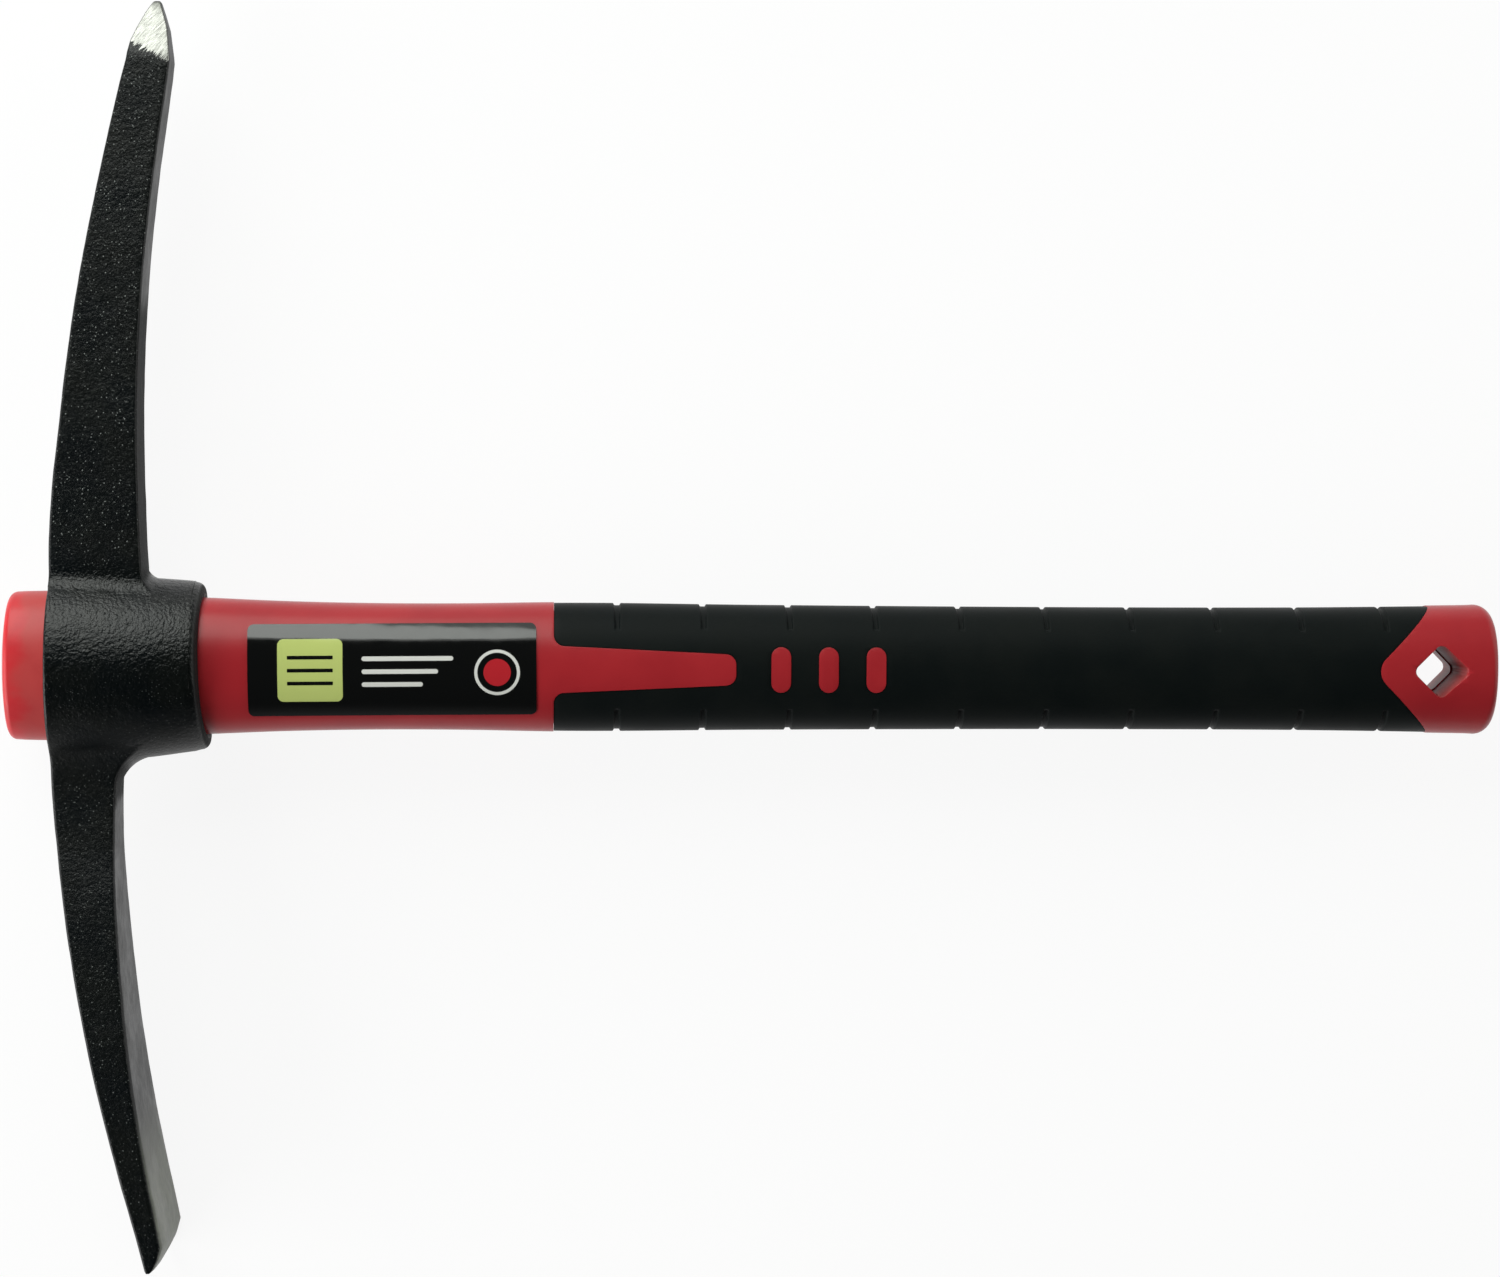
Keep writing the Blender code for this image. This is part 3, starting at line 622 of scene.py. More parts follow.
def pick_rings():
    """Rings from the eye up the pick arm to its ground point."""
    widths = np.array(PICK_HALF_WIDTHS)
    rings = []
    for row in smooth_rows(PICK_EDGES, arm_places(PICK_FILLET, 1, PICK_EDGES[-1][0])):
        half_width = np.interp(row[0], widths[:, 0], widths[:, 1])
        rings.append(root_ring(row, half_width, PICK_FILLET, 1))
    return rings + [tip_ring(*row, POINT_ROUND) for row in PICK_POINT]


def adze_rings():
    """Rings from the eye down the adze to its cutting edge, which is bowed and a little askew."""
    places = arm_places(ADZE_FILLET, -1, ADZE_EDGES[-1][0])
    rings = []
    widths = smooth_rows(ADZE_HALF_WIDTHS, places)
    for row, (_, half_width) in zip(smooth_rows(ADZE_EDGES, places), widths):
        spread = np.interp(row[0], ADZE_SPREAD, (0.0, 1.0))
        inner_round = ARM_ROUND + (ADZE_EDGE_ROUND - ARM_ROUND) * spread
        rings.append(root_ring(row, half_width, ADZE_FILLET, -1, inner_round))
    rings += [tip_ring(*row, ADZE_EDGE_ROUND) for row in ADZE_BEVEL]
    deepest = EDGE_SKEW**2 / (4 * EDGE_BOW)
    fade = (ADZE_EDGES[-1][0] - EDGE_FADE, ADZE_EDGES[-1][0])
    for ring in rings:
        for i, (x, y, z) in enumerate(ring):
            t = 2 * z / ADZE_WIDTH
            back = (deepest + EDGE_BOW * t * t + EDGE_SKEW * t) * np.interp(y, fade, (0.0, 1.0))
            ring[i] = (x - EDGE_LEAN * back, y - back, z)
    return [[(x, -y, z) for x, y, z in ring] for ring in rings]


def eye_ring(x, inward=0, angle=0.0, top_round=0.0, flank_round=0.0):
    """A ring round the eye, drawn in by its place on a rounded edge."""
    _, upper, lower, half_width = smooth_rows(EYE_SECTIONS, [x])[0]
    ring = []
    for _, y, z in oval(x, 1.0, 1.0, EYE_POWER, EYE_POINTS):
        rounding = top_round + (flank_round - top_round) * z * z
        inset = rounding * (1 - math.cos(angle))
        half_height = upper if y > 0 else lower
        depth = inward * rounding * (1 - math.sin(angle))
        ring.append((x + depth, y * (half_height - inset), z * (half_width - inset)))
    return ring


def collar_end(ring, scale=1.0):
    """The ring tilted, and set back on its flanks, as the collar's end is."""
    half_width = EYE_SECTIONS[-1][3]
    moved = []
    for x, y, z in ring:
        y, z = y * scale, z * scale
        moved.append((x - COLLAR_TILT * y - COLLAR_SETBACK * (z / half_width) ** 2, y, z))
    return moved


def make_eye():
    """The oval through which the handle passes, with both of its ends rounded."""
    angles = np.radians(np.linspace(90, 0, ARC_STEPS + 1))
    face = [eye_ring(HEAD_FACE_X, 1, angle, EYE_FACE_ROUND, EYE_FACE_ROUND) for angle in angles]
    start, end = HEAD_FACE_X + EYE_FACE_ROUND, COLLAR_END_X - EYE_FLANK_ROUND - COLLAR_SETBACK
    places = np.linspace(start, end, round((end - start) / EYE_STEP) + 1)[1:]
    rounded = [eye_ring(COLLAR_END_X, -1, angle, EYE_END_ROUND, EYE_FLANK_ROUND) for angle in angles]
    cap = [collar_end(rounded[0], scale) for scale in COLLAR_CAP_SCALES]
    collar = cap + [collar_end(ring) for ring in rounded]
    return loft("eye", face + [eye_ring(x) for x in places] + collar[::-1])


def make_bore():
    """The tapered hole for the handle, with a small chamfer at each mouth."""
    wide = BORE_GAP + 2 * BORE_CHAMFER
    return loft("bore", [
        handle_ring(HEAD_FACE_X - BORE_CHAMFER, wide),
        handle_ring(HEAD_FACE_X + BORE_CHAMFER, BORE_GAP),
        collar_end(handle_ring(COLLAR_END_X - BORE_CHAMFER, BORE_GAP)),
        collar_end(handle_ring(COLLAR_END_X + BORE_CHAMFER, wide)),
    ])


def noise_modifier(obj, name, size, strength, group):
    """Raises and lowers the surface by a cloud pattern."""
    texture = bpy.data.textures.new(name, "CLOUDS")
    texture.noise_scale = size
    texture.noise_depth = 1
    modifier = obj.modifiers.new(name, "DISPLACE")
    modifier.texture = texture
    modifier.texture_coords = "LOCAL"
    modifier.strength = strength
    modifier.vertex_group = group


def read_points(obj):
    points = np.empty(3 * len(obj.data.vertices))
    obj.data.vertices.foreach_get("co", points)
    return points.reshape(-1, 3)


def keep_inside(obj, node):
    """Holds the mesh inside the box of the node that it stands for."""
    low, high = (np.array(corner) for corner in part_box(node))
    points = np.clip(read_points(obj), low, high)
    obj.data.vertices.foreach_set("co", points.ravel())
    obj.data.update()


def coated_share(points):
    """1 on the forging's rough skin, and 0 in the bore and on the ground point."""
    x, y, z = (points - np.array(AXIS_START)).T
    half_height, half_width = handle_size((HEAD_FACE_X + COLLAR_END_X) / 2)
    from_axis = np.abs(y / half_height) ** HANDLE_POWER + np.abs(z / half_width) ** HANDLE_POWER
    outside = np.interp(from_axis, SKIN_START, (0, 1))
    line = GROUND_OUTER_Y - GROUND_SLOPE * (x - GROUND_OUTER_X)
    return outside * np.interp(y - line, (-SKIN_FADE, 0.0), (1, 0))


def make_forging():
    """The head, with the uneven skin of a coated forging."""
    forging = loft("head_forging", adze_rings()[::-1] + pick_rings())
    combine(forging, "UNION", make_eye())
    combine(forging, "DIFFERENCE", make_bore())
    group = forging.vertex_groups.new(name="coated")
    for i, share in enumerate(coated_share(read_points(forging))):
        group.add([i], share, "REPLACE")
    noise_modifier(forging, "hammered", *HAMMERED, group.name)
    noise_modifier(forging, "scale", *SCALE, group.name)
    apply_modifiers(forging)
    keep_inside(forging, "pick_head")
    shade(forging, degrees=38)
    return forging


class Shader:
    """A material's nodes, with short calls to add and join them."""

    def __init__(self, name):
        self.material = bpy.data.materials.new(name)
        self.material.use_nodes = True
        self.nodes = self.material.node_tree.nodes
        self.links = self.material.node_tree.links
        self.surface = self.nodes["Principled BSDF"]
        coordinates = self.add("ShaderNodeTexCoord")
        self.place = coordinates.outputs["Object"]
        self.direction = coordinates.outputs["Normal"]

    def add(self, kind, inputs=(), **settings):
        node = self.nodes.new(kind)
        for name, value in settings.items():
            setattr(node, name, value)
        for key, value in dict(inputs).items():
            self.join(value, node.inputs[key])
        return node

    def join(self, value, socket):
        if isinstance(value, bpy.types.NodeSocket):
            self.links.new(value, socket)
        else:
            socket.default_value = value

    def set(self, **inputs):
        for name, value in inputs.items():
            self.join(value, self.surface.inputs[name.replace("_", " ")])

    def math(self, operation, a, b=0.0, clamp=False):
        return self.add("ShaderNodeMath", {0: a, 1: b}, operation=operation, use_clamp=clamp).outputs[0]

    def product(self, first, *others):
        """Two or more values multiplied."""
        for other in others:
            first = self.math("MULTIPLY", first, other)
        return first

    def vector(self, operation, a, b=(0, 0, 0)):
        node = self.add("ShaderNodeVectorMath", {0: a, 1: b}, operation=operation)
        return node.outputs["Value" if operation in ("LENGTH", "DOT_PRODUCT") else "Vector"]

    def split(self, vector):
        return self.add("ShaderNodeSeparateXYZ", {0: vector}).outputs

    def from_boss(self):
        """The three parts of a place about the handle's axis, from the boss end."""
        return self.split(self.vector("SUBTRACT", self.place, tuple(AXIS_START)))

    def stretched(self, scales, turn=(0, 0, 0)):
        """The piece's coordinates, turned and scaled."""
        inputs = {"Vector": self.place, "Rotation": turn, "Scale": scales}
        return self.add("ShaderNodeMapping", inputs, vector_type="TEXTURE").outputs[0]

    def noise(self, size, detail=2.0, place=None, roughness=0.5):
        """Noise whose features are about this size in metres, from 0 to 1."""
        inputs = {"Vector": place or self.place, "Scale": 1 / size}
        inputs.update({"Detail": detail, "Roughness": roughness})
        return self.add("ShaderNodeTexNoise", inputs).outputs[0]

    def ramp(self, value, low, high, to_low=0.0, to_high=1.0):
        """A value eased from one range to another."""
        inputs = {"Value": value, "From Min": low, "From Max": high, "To Min": to_low, "To Max": to_high}
        return self.add("ShaderNodeMapRange", inputs, interpolation_type="SMOOTHSTEP").outputs[0]

    def blend(self, share, a, b):
        """A number between two."""
        return self.add("ShaderNodeMix", {0: share, 2: a, 3: b}).outputs[0]

    def mix(self, share, a, b):
        """A colour between two."""
        node = self.add("ShaderNodeMix", data_type="RGBA")
        self.join(share, node.inputs[0])
        self.join(a, node.inputs[6])
        self.join(b, node.inputs[7])
        return node.outputs[2]

    def bump(self, height, distance, strength=1.0, normal=None):
        inputs = {"Height": height, "Distance": distance, "Strength": strength}
        if normal:
            inputs["Normal"] = normal
        return self.add("ShaderNodeBump", inputs).outputs[0]


def srgb(red, green, blue):
    """A colour as it reads on screen, 0 to 255, as the linear colour that shaders take."""
    linear = []
    for value in (red, green, blue):
        share = value / 255
        linear.append(share / 12.92 if share <= 0.04045 else ((share + 0.055) / 1.055) ** 2.4)
    return (*linear, 1.0)


# Noise runs from 0 to 1: where most of its values lie, and where its middle ones do
NOISE_RANGE = (0.3, 0.7)
NOISE_MIDDLE = (0.35, 0.65)

# Head: distance from the handle's axis over which the eye's skin turns into the arms'
ARM_START = (0.022, 0.036)
# Heights over the axis, below 0 on the adze's side. Loose grains thin out towards the adze, and the
# eye's skin is leathery above and dull below.
LOOSE_HEIGHTS = (-0.036, -0.022)
LEATHER_HEIGHTS = (-0.012, 0.006)
DULL_HEIGHTS = (-0.020, -0.008)
# The arms' inner faces are matt between these heights, with a wandering border, and carry a painted
# sheen that grows paler towards the adze's edge
MATT_FROM = (-0.0375, -0.0335)
MATT_TO = (0.091, 0.099)
MATT_WANDER = 0.0015
PAINTED_SHEEN_HEIGHTS = (-0.142, -0.112)
# How squarely a face looks along the handle to be an inner one, and how far that smooths it, and how
# squarely it looks up or down to be a broad one
INNER_FACING = (0.55, 0.88)
INNER_SHARE = 0.75
BROAD_FACING = (0.55, 0.75)
# Ground point: its ragged border, the grinder's strokes, and the height over the border of its dark tip
GROUND_BORDER = (-0.0002, 0.0004)
GROUND_RAG = 0.0064
GRIND_ANGLE = math.radians(48)
STROKE_SIZE = (0.0035, 0.0003, 0.0012)
TIP_HEIGHTS = (0.0100, 0.0147)
# Glinting grains: spacing, turn of the pattern, size as a share of the spacing, rarity and height
GRAIN_PITCH = 0.0008
GRAIN_TURN = (0.6, 0.4, 0.8)
GRAIN_SHARE = 0.30
GRAIN_RARITY = 0.35
GRAIN_HEIGHT = 0.00012

COATING = (srgb(2, 6, 8), srgb(9, 12, 11))
# Painted glints: the light specks and the bright grains
PAINTED_SPECK = srgb(66, 70, 66)
PAINTED_GLINT = srgb(148, 154, 150)
# Painted sheen on the arms' inner faces
PAINTED_SHEEN = srgb(120, 123, 112)
STEEL = (srgb(122, 122, 118), srgb(164, 164, 160))
TIP_STEEL = srgb(70, 71, 67)


def glinting_grains(s, loose):
    """Small domes at random places on the loose skin, from 0 to 1."""
    inputs = {"Vector": s.stretched((1, 1, 1), GRAIN_TURN), "Scale": 1 / GRAIN_PITCH}
    cells = s.add("ShaderNodeTexVoronoi", inputs).outputs
    dome = s.ramp(cells["Distance"], 0.0, GRAIN_SHARE, 1.0, 0.0)
    chance = s.ramp(s.split(cells["Color"])[0], GRAIN_RARITY, 1.0)
    return s.product(dome, chance, loose)


def forged_black():
    """Rough black coating with fine grains, leathery on the eye, smooth and partly matt on the arms' inner
    faces, and ground off the broad sides of the pick's point. Light specks and the grains' brightness are
    painted glints, and the inner faces carry a painted sheen that grows paler towards the adze's edge."""
    s = Shader("forged_black")
    fine = s.noise(0.0009, 3.0, roughness=0.65)
    grit = s.noise(0.0026, 2.0)
    leather = s.noise(0.00095, 2.0, roughness=0.6)
    broad = s.noise(0.012, 3.0)
    strokes = s.noise(1.0, 3.0, s.stretched(STROKE_SIZE, (0, 0, GRIND_ANGLE)))

    x, y, _ = s.from_boss()
    facing_x, _, facing_z = s.split(s.direction)
    slant = s.math("MULTIPLY", s.math("SUBTRACT", x, GROUND_OUTER_X), GROUND_SLOPE)
    height = s.math("ADD", s.math("SUBTRACT", y, GROUND_OUTER_Y), slant)
    rag = s.math("MULTIPLY", s.math("SUBTRACT", strokes, 0.5), GROUND_RAG)
    above = s.ramp(s.math("ADD", height, rag), *GROUND_BORDER)
    ground = s.product(above, s.ramp(s.math("ABSOLUTE", facing_z), *BROAD_FACING))
    on_arm = s.ramp(s.math("ABSOLUTE", y), *ARM_START)
    off_eye = s.ramp(on_arm, 0.0, 0.6)
    inner = s.ramp(facing_x, *INNER_FACING, 0.0, INNER_SHARE)
    smooth = s.product(inner, on_arm)
    wandering = s.math("ADD", y, s.ramp(broad, *NOISE_RANGE, -MATT_WANDER, MATT_WANDER))
    matt = s.product(inner, s.ramp(wandering, *MATT_FROM), s.ramp(y, *MATT_TO, 1.0, 0.0))
    rough_skin = s.math("SUBTRACT", s.math("SUBTRACT", 1.0, smooth), ground, clamp=True)
    loose = s.product(rough_skin, s.ramp(on_arm, 0.0, 1.0, 0.2, 1.0), s.ramp(y, *LOOSE_HEIGHTS, 0.5, 1.0))
    grain = glinting_grains(s, loose)

    # Light specks and bright grains painted into the colour as glints, besides the grains' bumps
    painted_specks = s.product(s.ramp(fine, 0.52, 0.72), loose, 0.2)
    black = s.mix(painted_specks, s.mix(s.ramp(broad, *NOISE_RANGE), *COATING), PAINTED_SPECK)
    black = s.mix(s.product(grain, 0.9), black, PAINTED_GLINT)
    # Painted sheen on the arms' inner faces, paler towards the adze's edge
    painted_sheen = s.product(smooth, s.ramp(y, *PAINTED_SHEEN_HEIGHTS, 1.0, 0.0), s.ramp(grit, *NOISE_MIDDLE, 0.75, 1.1))
    black = s.mix(painted_sheen, black, PAINTED_SHEEN)
    steel = s.mix(s.ramp(strokes, 0.28, 0.72), *STEEL)
    steel = s.mix(s.ramp(height, *TIP_HEIGHTS, 0.0, 0.8), steel, TIP_STEEL)
    s.set(Base_Color=s.mix(ground, black, steel), Metallic=ground, Specular_IOR_Level=0.28)

    satin = s.math("ADD", s.ramp(broad, *NOISE_MIDDLE, 0.45, 0.55), s.ramp(grit, *NOISE_MIDDLE, 0.0, 0.06))
    skin = s.blend(off_eye, s.ramp(y, *DULL_HEIGHTS, 0.42, 0.26), 0.31)
    rough = s.blend(matt, s.blend(smooth, skin, satin), 0.95)
    rough = s.blend(grain, rough, 0.2)
    s.set(Roughness=s.blend(ground, rough, 0.42))

    crust = s.product(fine, rough_skin, s.blend(off_eye, 0.5, 1.0))
    on_eye = s.product(s.math("SUBTRACT", 1.0, off_eye), s.ramp(y, *LEATHER_HEIGHTS, 0.4, 1.0))
    normal = s.bump(crust, 0.0002, normal=s.bump(grain, GRAIN_HEIGHT))
    normal = s.bump(s.product(leather, on_eye), 0.0003, normal=normal)
    normal = s.bump(s.product(strokes, ground), 0.00006, normal=normal)
    s.set(Normal=s.bump(grit, 0.00012, normal=normal))
    return s.material


# Boss: distances from its end over which the plastic turns paler, as scuffing and painted sheen, with a
# wandering border, and where the painted highlight along its end's rim ends
PALE_FROM = (0.0035, 0.0085)
PALE_WANDER = 0.003
RIM_HIGHLIGHT_END = (0.0010, 0.0022)
# Hang hole: how far its walls reach from its middle, how level a wall is, and its parting line
WALL_REACH = (0.0095, 0.0100)
WALL_FACING = (0.3, 0.8)
PARTING_HEIGHTS = (0.0002, 0.0005)

RED = (srgb(154, 33, 40), srgb(164, 38, 44))
# The boss's red, painted lighter as the light that falls on it, and its pale red of scuffs and painted
# sheen
PAINTED_LIT_BOSS_RED = srgb(203, 40, 48)
PALE_SCUFF_AND_SHEEN_RED = srgb(183, 64, 63)
# Hang hole: walls painted paler with light from the floor, and painted shade along the parting line
FLOOR_LIT_WALL_RED = srgb(150, 52, 52)
PARTING_SHADE = srgb(30, 10, 12)


def red_plastic():
    """Satin moulded plastic. The boss has scuffs and is painted a lighter red, as the light on it, paler
    towards the head with painted sheen and with a painted highlight along its end's rim. The hang hole's
    walls are duller, painted paler with light from the floor, with painted shade along the parting line.
    """
    s = Shader("red_plastic")
    cloud = s.noise(0.02, 3.0)
    fine = s.noise(0.0006, 2.0)
    patchy = s.noise(0.008, 4.0)

    x, y, z = s.from_boss()
    on_boss = s.ramp(x, HEAD_FACE_X, COLLAR_END_X, 1.0, 0.0)
    # On the boss, in patches as of scuffs, the red is painted lighter as the light that falls on it
    boss_scuff_and_light = s.product(on_boss, s.ramp(patchy, 0.2, 0.6, 0.6, 1.0))
    # Paler towards the head, as scuffing and painted sheen, and a painted highlight along the end's rim
    wandering = s.math("ADD", x, s.ramp(patchy, 0.2, 0.8, -PALE_WANDER, PALE_WANDER))
    pale_scuff_and_sheen = s.ramp(wandering, *PALE_FROM, 0.15, 1.0)
    pale_scuff_and_sheen = s.math("MAXIMUM", pale_scuff_and_sheen, s.ramp(x, *RIM_HIGHLIGHT_END, 1.0, 0.0))
    # The hang hole's walls, painted paler with light from the floor
    from_hole = s.math("ADD", s.math("ABSOLUTE", s.math("SUBTRACT", x, HOLE_X)), s.math("ABSOLUTE", y))
    level = s.ramp(s.math("ABSOLUTE", s.split(s.direction)[2]), *WALL_FACING, 1.0, 0.0)
    in_hole = s.product(s.ramp(from_hole, *WALL_REACH, 1.0, 0.0), level)
    # Painted shade along the parting line inside the hang hole
    parting = s.product(in_hole, s.ramp(s.math("ABSOLUTE", z), *PARTING_HEIGHTS, 1.0, 0.0), 0.8)

    boss = s.mix(pale_scuff_and_sheen, PAINTED_LIT_BOSS_RED, PALE_SCUFF_AND_SHEEN_RED)
    colour = s.mix(boss_scuff_and_light, s.mix(s.ramp(cloud, *NOISE_RANGE), *RED), boss)
    colour = s.mix(in_hole, colour, s.mix(parting, FLOOR_LIT_WALL_RED, PARTING_SHADE))
    rough = s.blend(s.product(boss_scuff_and_light, pale_scuff_and_sheen), s.ramp(fine, 0.2, 0.8, 0.30, 0.38), 0.42)
    s.set(Base_Color=colour, Roughness=s.blend(in_hole, rough, 0.46), Specular_IOR_Level=0.30)
    s.set(Normal=s.bump(fine, 0.00002, 0.5, s.bump(cloud, 0.0002, 0.4)))
    return s.material


def black_rubber():
    """Matt moulded rubber with a fine tooth and a faint cloudiness."""
    s = Shader("black_rubber")
    cloud = s.noise(0.015, 3.0)
    fine = s.noise(0.00045, 2.0)
    colour = s.mix(s.ramp(cloud, *NOISE_RANGE), srgb(11, 16, 16), srgb(15, 19, 18))
    s.set(Base_Color=colour, Roughness=s.ramp(cloud, 0.2, 0.8, 0.46, 0.56), Specular_IOR_Level=0.08)
    s.set(Normal=s.bump(fine, 0.00003, 0.6))
    return s.material


def fibreglass():
    """Pale resin with glass strands along the bar."""
    s = Shader("fibreglass")
    strands = s.noise(1.0, 4.0, s.stretched((0.03, 0.0003, 0.0003)))
    colour = s.mix(s.ramp(strands, *NOISE_RANGE), srgb(188, 184, 156), srgb(216, 213, 190))
    s.set(Base_Color=colour, Roughness=0.45, Normal=s.bump(strands, 0.00005))
    return s.material


# Softness of the printed edges, and the inks
INK_EDGE = 0.00008
LIME = srgb(183, 196, 114)
WHITE = srgb(212, 213, 208)
RED_PRINT = srgb(178, 38, 46)
PRINT_BLACK = srgb(12, 13, 13)
# Print on the sticker: colour, centre, size and corner radius, from the sticker's own middle
PRINT = (
    (LIME, (-0.0215, 0.0000), (0.0170, 0.0165), 0.0016),
    (PRINT_BLACK, (-0.0215, 0.0034), (0.0120, 0.0010), 0.0002),
    (PRINT_BLACK, (-0.0215, 0.0000), (0.0120, 0.0010), 0.0002),
    (PRINT_BLACK, (-0.0215, -0.0034), (0.0120, 0.0010), 0.0002),
    (WHITE, (0.0040, 0.0030), (0.0240, 0.0012), 0.0006),
    (WHITE, (0.0020, -0.0004), (0.0200, 0.0012), 0.0006),
    (WHITE, (0.0000, -0.0038), (0.0160, 0.0012), 0.0006),
    (WHITE, (0.0275, -0.0008), (0.0120, 0.0120), 0.0060),
    (PRINT_BLACK, (0.0275, -0.0008), (0.0104, 0.0104), 0.0052),
    (RED_PRINT, (0.0275, -0.0008), (0.0072, 0.0072), 0.0036),
)


def sticker_film():
    """Glossy film with a plain print of panels, bars and a ring."""
    s = Shader("sticker_film")
    middle = AXIS_START + Vector((*LABEL_CENTRE, 0))
    centred = s.vector("SUBTRACT", s.place, tuple(middle))
    turn = {"Vector": centred, "Angle": -LABEL_TILT}
    turned = s.add("ShaderNodeVectorRotate", turn, rotation_type="Z_AXIS").outputs[0]
    flat = s.vector("MULTIPLY", turned, (1, 1, 0))
    colour = PRINT_BLACK
    for ink, centre, size, corner in PRINT:
        from_centre = s.vector("ABSOLUTE", s.vector("SUBTRACT", flat, (*centre, 0)))
        inner = (size[0] / 2 - corner, size[1] / 2 - corner, 0)
        outside = s.vector("MAXIMUM", s.vector("SUBTRACT", from_centre, inner), (0, 0, 0))
        distance = s.math("SUBTRACT", s.vector("LENGTH", outside), corner)
        colour = s.mix(s.ramp(distance, -INK_EDGE, INK_EDGE, 1.0, 0.0), colour, ink)
    wear = s.noise(0.004, 3.0)
    s.set(Base_Color=colour, Roughness=s.ramp(wear, 0.3, 0.8, 0.07, 0.12), IOR=1.5)
    s.set(Normal=s.bump(s.noise(0.01, 1.0), 0.0002, 0.3))
    return s.material


def dress(piece, material, body, node=None):
    """Gives a piece its material, and for a new piece its body and the node that it replaces."""
    piece.data.materials.clear()
    piece.data.materials.append(material)
    if node:
        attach(piece, body)
        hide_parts(node)


def make_camera():
    camera = bpy.data.objects.new("camera", bpy.data.cameras.new("camera"))
    bpy.context.scene.collection.objects.link(camera)
    back = (CAMERA_PLACE - CAMERA_AIM).normalized()
    right = Vector((0, 1, 0)).cross(back).normalized()
    up = back.cross(right)
    turn = Matrix((right, up, back)).transposed() @ Matrix.Rotation(CAMERA_ROLL, 3, "Z")
    camera.matrix_world = Matrix.Translation(CAMERA_PLACE) @ turn.to_4x4()
    camera.data.lens = CAMERA_LENS
    camera.data.sensor_width = 36
    camera.data.clip_start = 0.01
    bpy.context.scene.camera = camera


FLOOR_SIZE = 12
FLOOR_COLOUR = (0.9, 0.9, 0.9, 1)
# How much of what the camera and reflections see of the floor is plain white
FLOOR_GLOW = 0.90


def make_floor():
    """A plain white floor; the camera and reflections see it mostly unshaded, so its shadow is faint."""
    mesh = bmesh.new()
    bmesh.ops.create_grid(mesh, x_segments=1, y_segments=1, size=FLOOR_SIZE / 2)
    data = bpy.data.meshes.new("floor")
    mesh.to_mesh(data)
    mesh.free()
    floor = bpy.data.objects.new("floor", data)
    bpy.context.scene.collection.objects.link(floor)
    material = bpy.data.materials.new("floor")
    material.use_nodes = True
    nodes, links = material.node_tree.nodes, material.node_tree.links
    nodes.clear()
    output = nodes.new("ShaderNodeOutputMaterial")
    mixed = nodes.new("ShaderNodeMixShader")
    diffuse = nodes.new("ShaderNodeBsdfDiffuse")
    diffuse.inputs["Color"].default_value = FLOOR_COLOUR
    glow = nodes.new("ShaderNodeEmission")
    seen = seen_share(nodes, links)
    share = nodes.new("ShaderNodeMath")
    share.operation = "MULTIPLY"
    share.inputs[1].default_value = FLOOR_GLOW
    links.new(seen, share.inputs[0])
    links.new(share.outputs[0], mixed.inputs[0])
    links.new(diffuse.outputs[0], mixed.inputs[1])
    links.new(glow.outputs[0], mixed.inputs[2])
    links.new(mixed.outputs[0], output.inputs["Surface"])
    data.materials.append(material)


def seen_share(nodes, links):
    """1 for camera, glossy and transmission rays, and 0 for the rest."""
    path = nodes.new("ShaderNodeLightPath")
    total = path.outputs["Is Camera Ray"]
    for name in ("Is Glossy Ray", "Is Transmission Ray"):
        either = nodes.new("ShaderNodeMath")
        either.operation = "MAXIMUM"
        links.new(total, either.inputs[0])
        links.new(path.outputs[name], either.inputs[1])
        total = either.outputs[0]
    return total


# Studio: how bright the walls and the ceiling are, and where one turns into the other
WALL_LEVEL = 0.30
CEILING_LEVEL = 0.02
WALL_TOP = 0.05
CEILING_START = 0.70
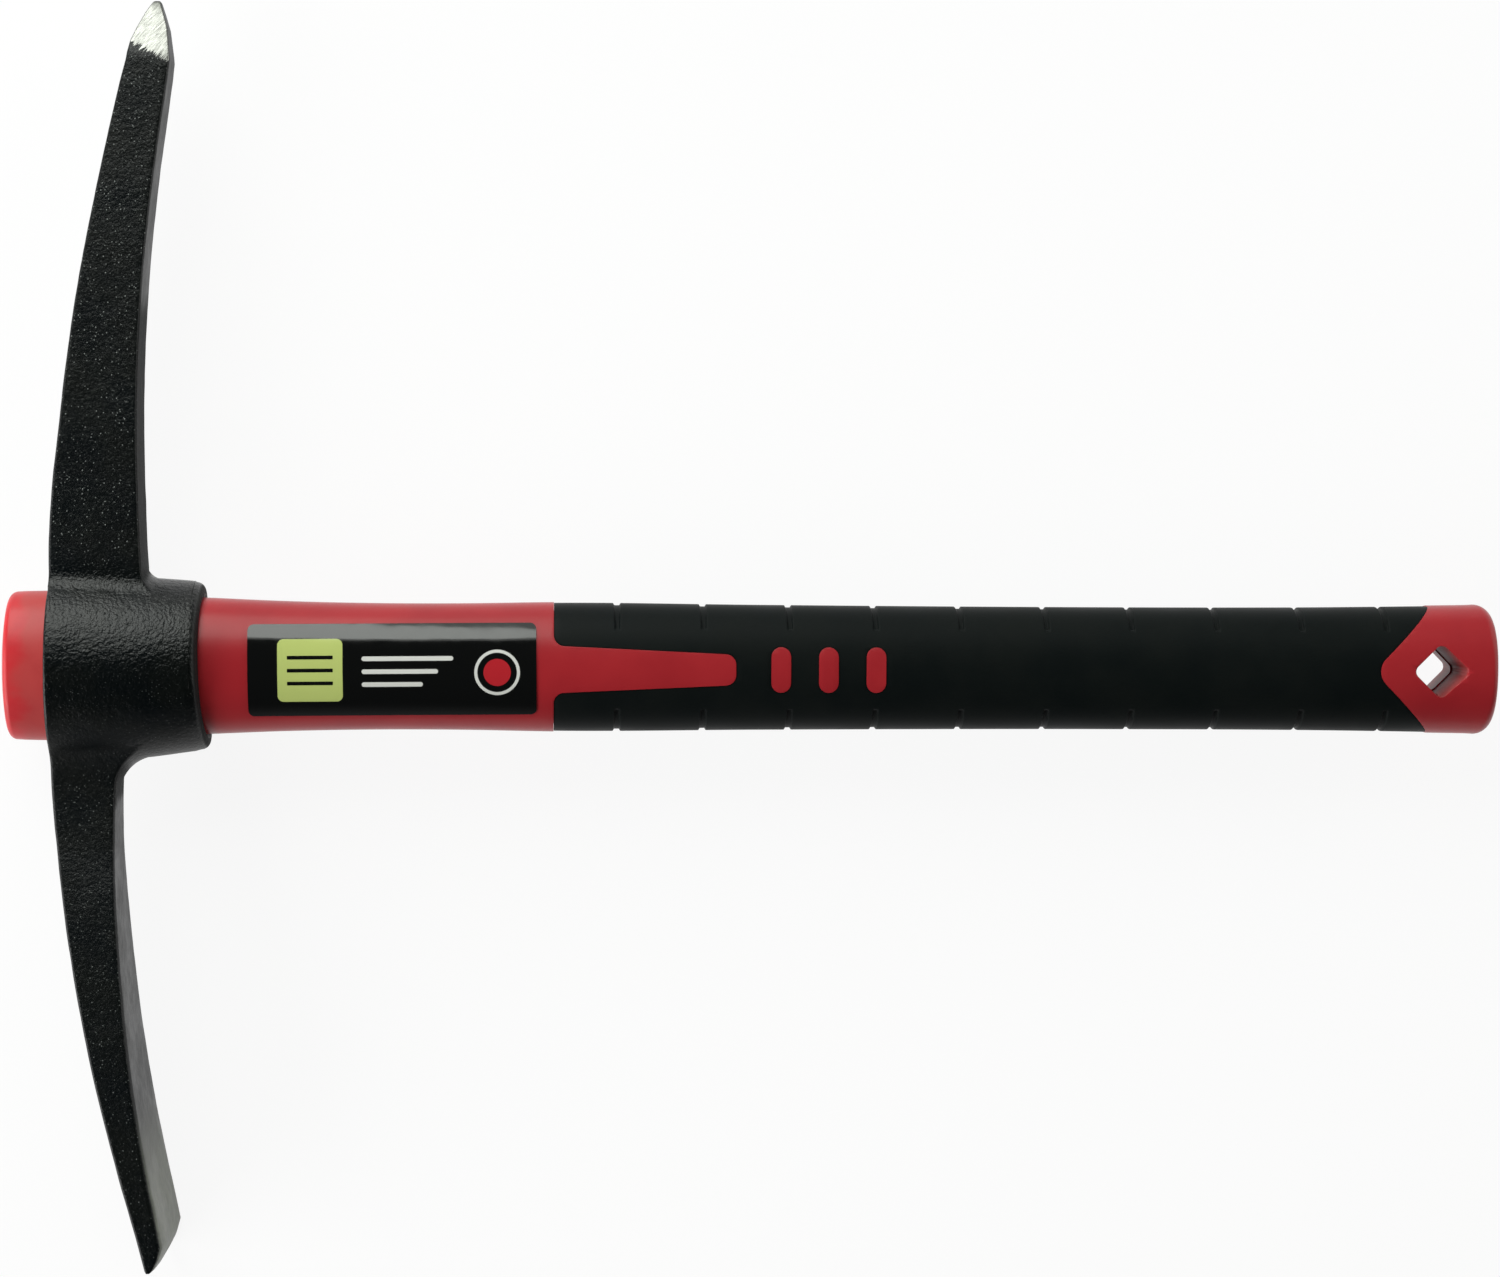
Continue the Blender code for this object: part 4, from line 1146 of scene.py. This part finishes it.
# Softboxes: place, size, brightness and colour
SOFTBOXES = {
    "key": (Vector((-0.45, 0.95, 0.643)), (0.70, 1.17), 4.4, (0.96, 1.0, 0.95)),
    "broad": (Vector((-0.30, 0.953, 0.643)), (1.00, 1.17), 1.3, (0.96, 1.0, 0.95)),
    "left": (Vector((-1.10, -0.45, 0.45)), (1.30, 0.90), 4.2, (1.0, 1.0, 1.0)),
    "right": (Vector((1.10, 0.35, 0.45)), (1.30, 0.90), 1.4, (0.96, 1.0, 0.95)),
}


def make_world():
    """A studio with white walls and a darker ceiling, and plain white where the camera sees it."""
    world = bpy.data.worlds.new("studio")
    bpy.context.scene.world = world
    world.use_nodes = True
    nodes, links = world.node_tree.nodes, world.node_tree.links
    background = nodes["Background"]
    place = nodes.new("ShaderNodeTexCoord")
    split = nodes.new("ShaderNodeSeparateXYZ")
    level = nodes.new("ShaderNodeMapRange")
    level.interpolation_type = "SMOOTHSTEP"
    level.inputs["From Min"].default_value = WALL_TOP
    level.inputs["From Max"].default_value = CEILING_START
    level.inputs["To Min"].default_value = WALL_LEVEL
    level.inputs["To Max"].default_value = CEILING_LEVEL
    path = nodes.new("ShaderNodeLightPath")
    strength = nodes.new("ShaderNodeMath")
    strength.operation = "MAXIMUM"
    links.new(place.outputs["Generated"], split.inputs[0])
    links.new(split.outputs["Z"], level.inputs["Value"])
    links.new(level.outputs[0], strength.inputs[0])
    links.new(path.outputs["Is Camera Ray"], strength.inputs[1])
    links.new(strength.outputs[0], background.inputs["Strength"])
    background.inputs["Color"].default_value = (1, 1, 1, 1)


def add_softbox(name, place, size, brightness, colour):
    data = bpy.data.lights.new(name, "AREA")
    data.shape = "RECTANGLE"
    data.size, data.size_y = size
    data.energy = brightness * math.pi * size[0] * size[1]
    data.color = colour
    lamp = bpy.data.objects.new(name, data)
    lamp.location = place
    lamp.rotation_euler = (Vector((0, 0, 0)) - place).to_track_quat("-Z", "Y").to_euler()
    bpy.context.scene.collection.objects.link(lamp)


make_camera()
make_world()
make_floor()
for name, settings in SOFTBOXES.items():
    add_softbox(name, *settings)
bpy.context.scene.view_settings.view_transform = "Standard"

dress(make_forging(), forged_black(), "head", "pick_head")
dress(make_moulding(), red_plastic(), "handle", "handle_body")
dress(make_sleeve(), black_rubber(), "handle", "rubber_grip")
dress(make_sticker(), sticker_film(), "handle", "label")
dress(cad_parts["fibreglass_core"], fibreglass(), "handle")
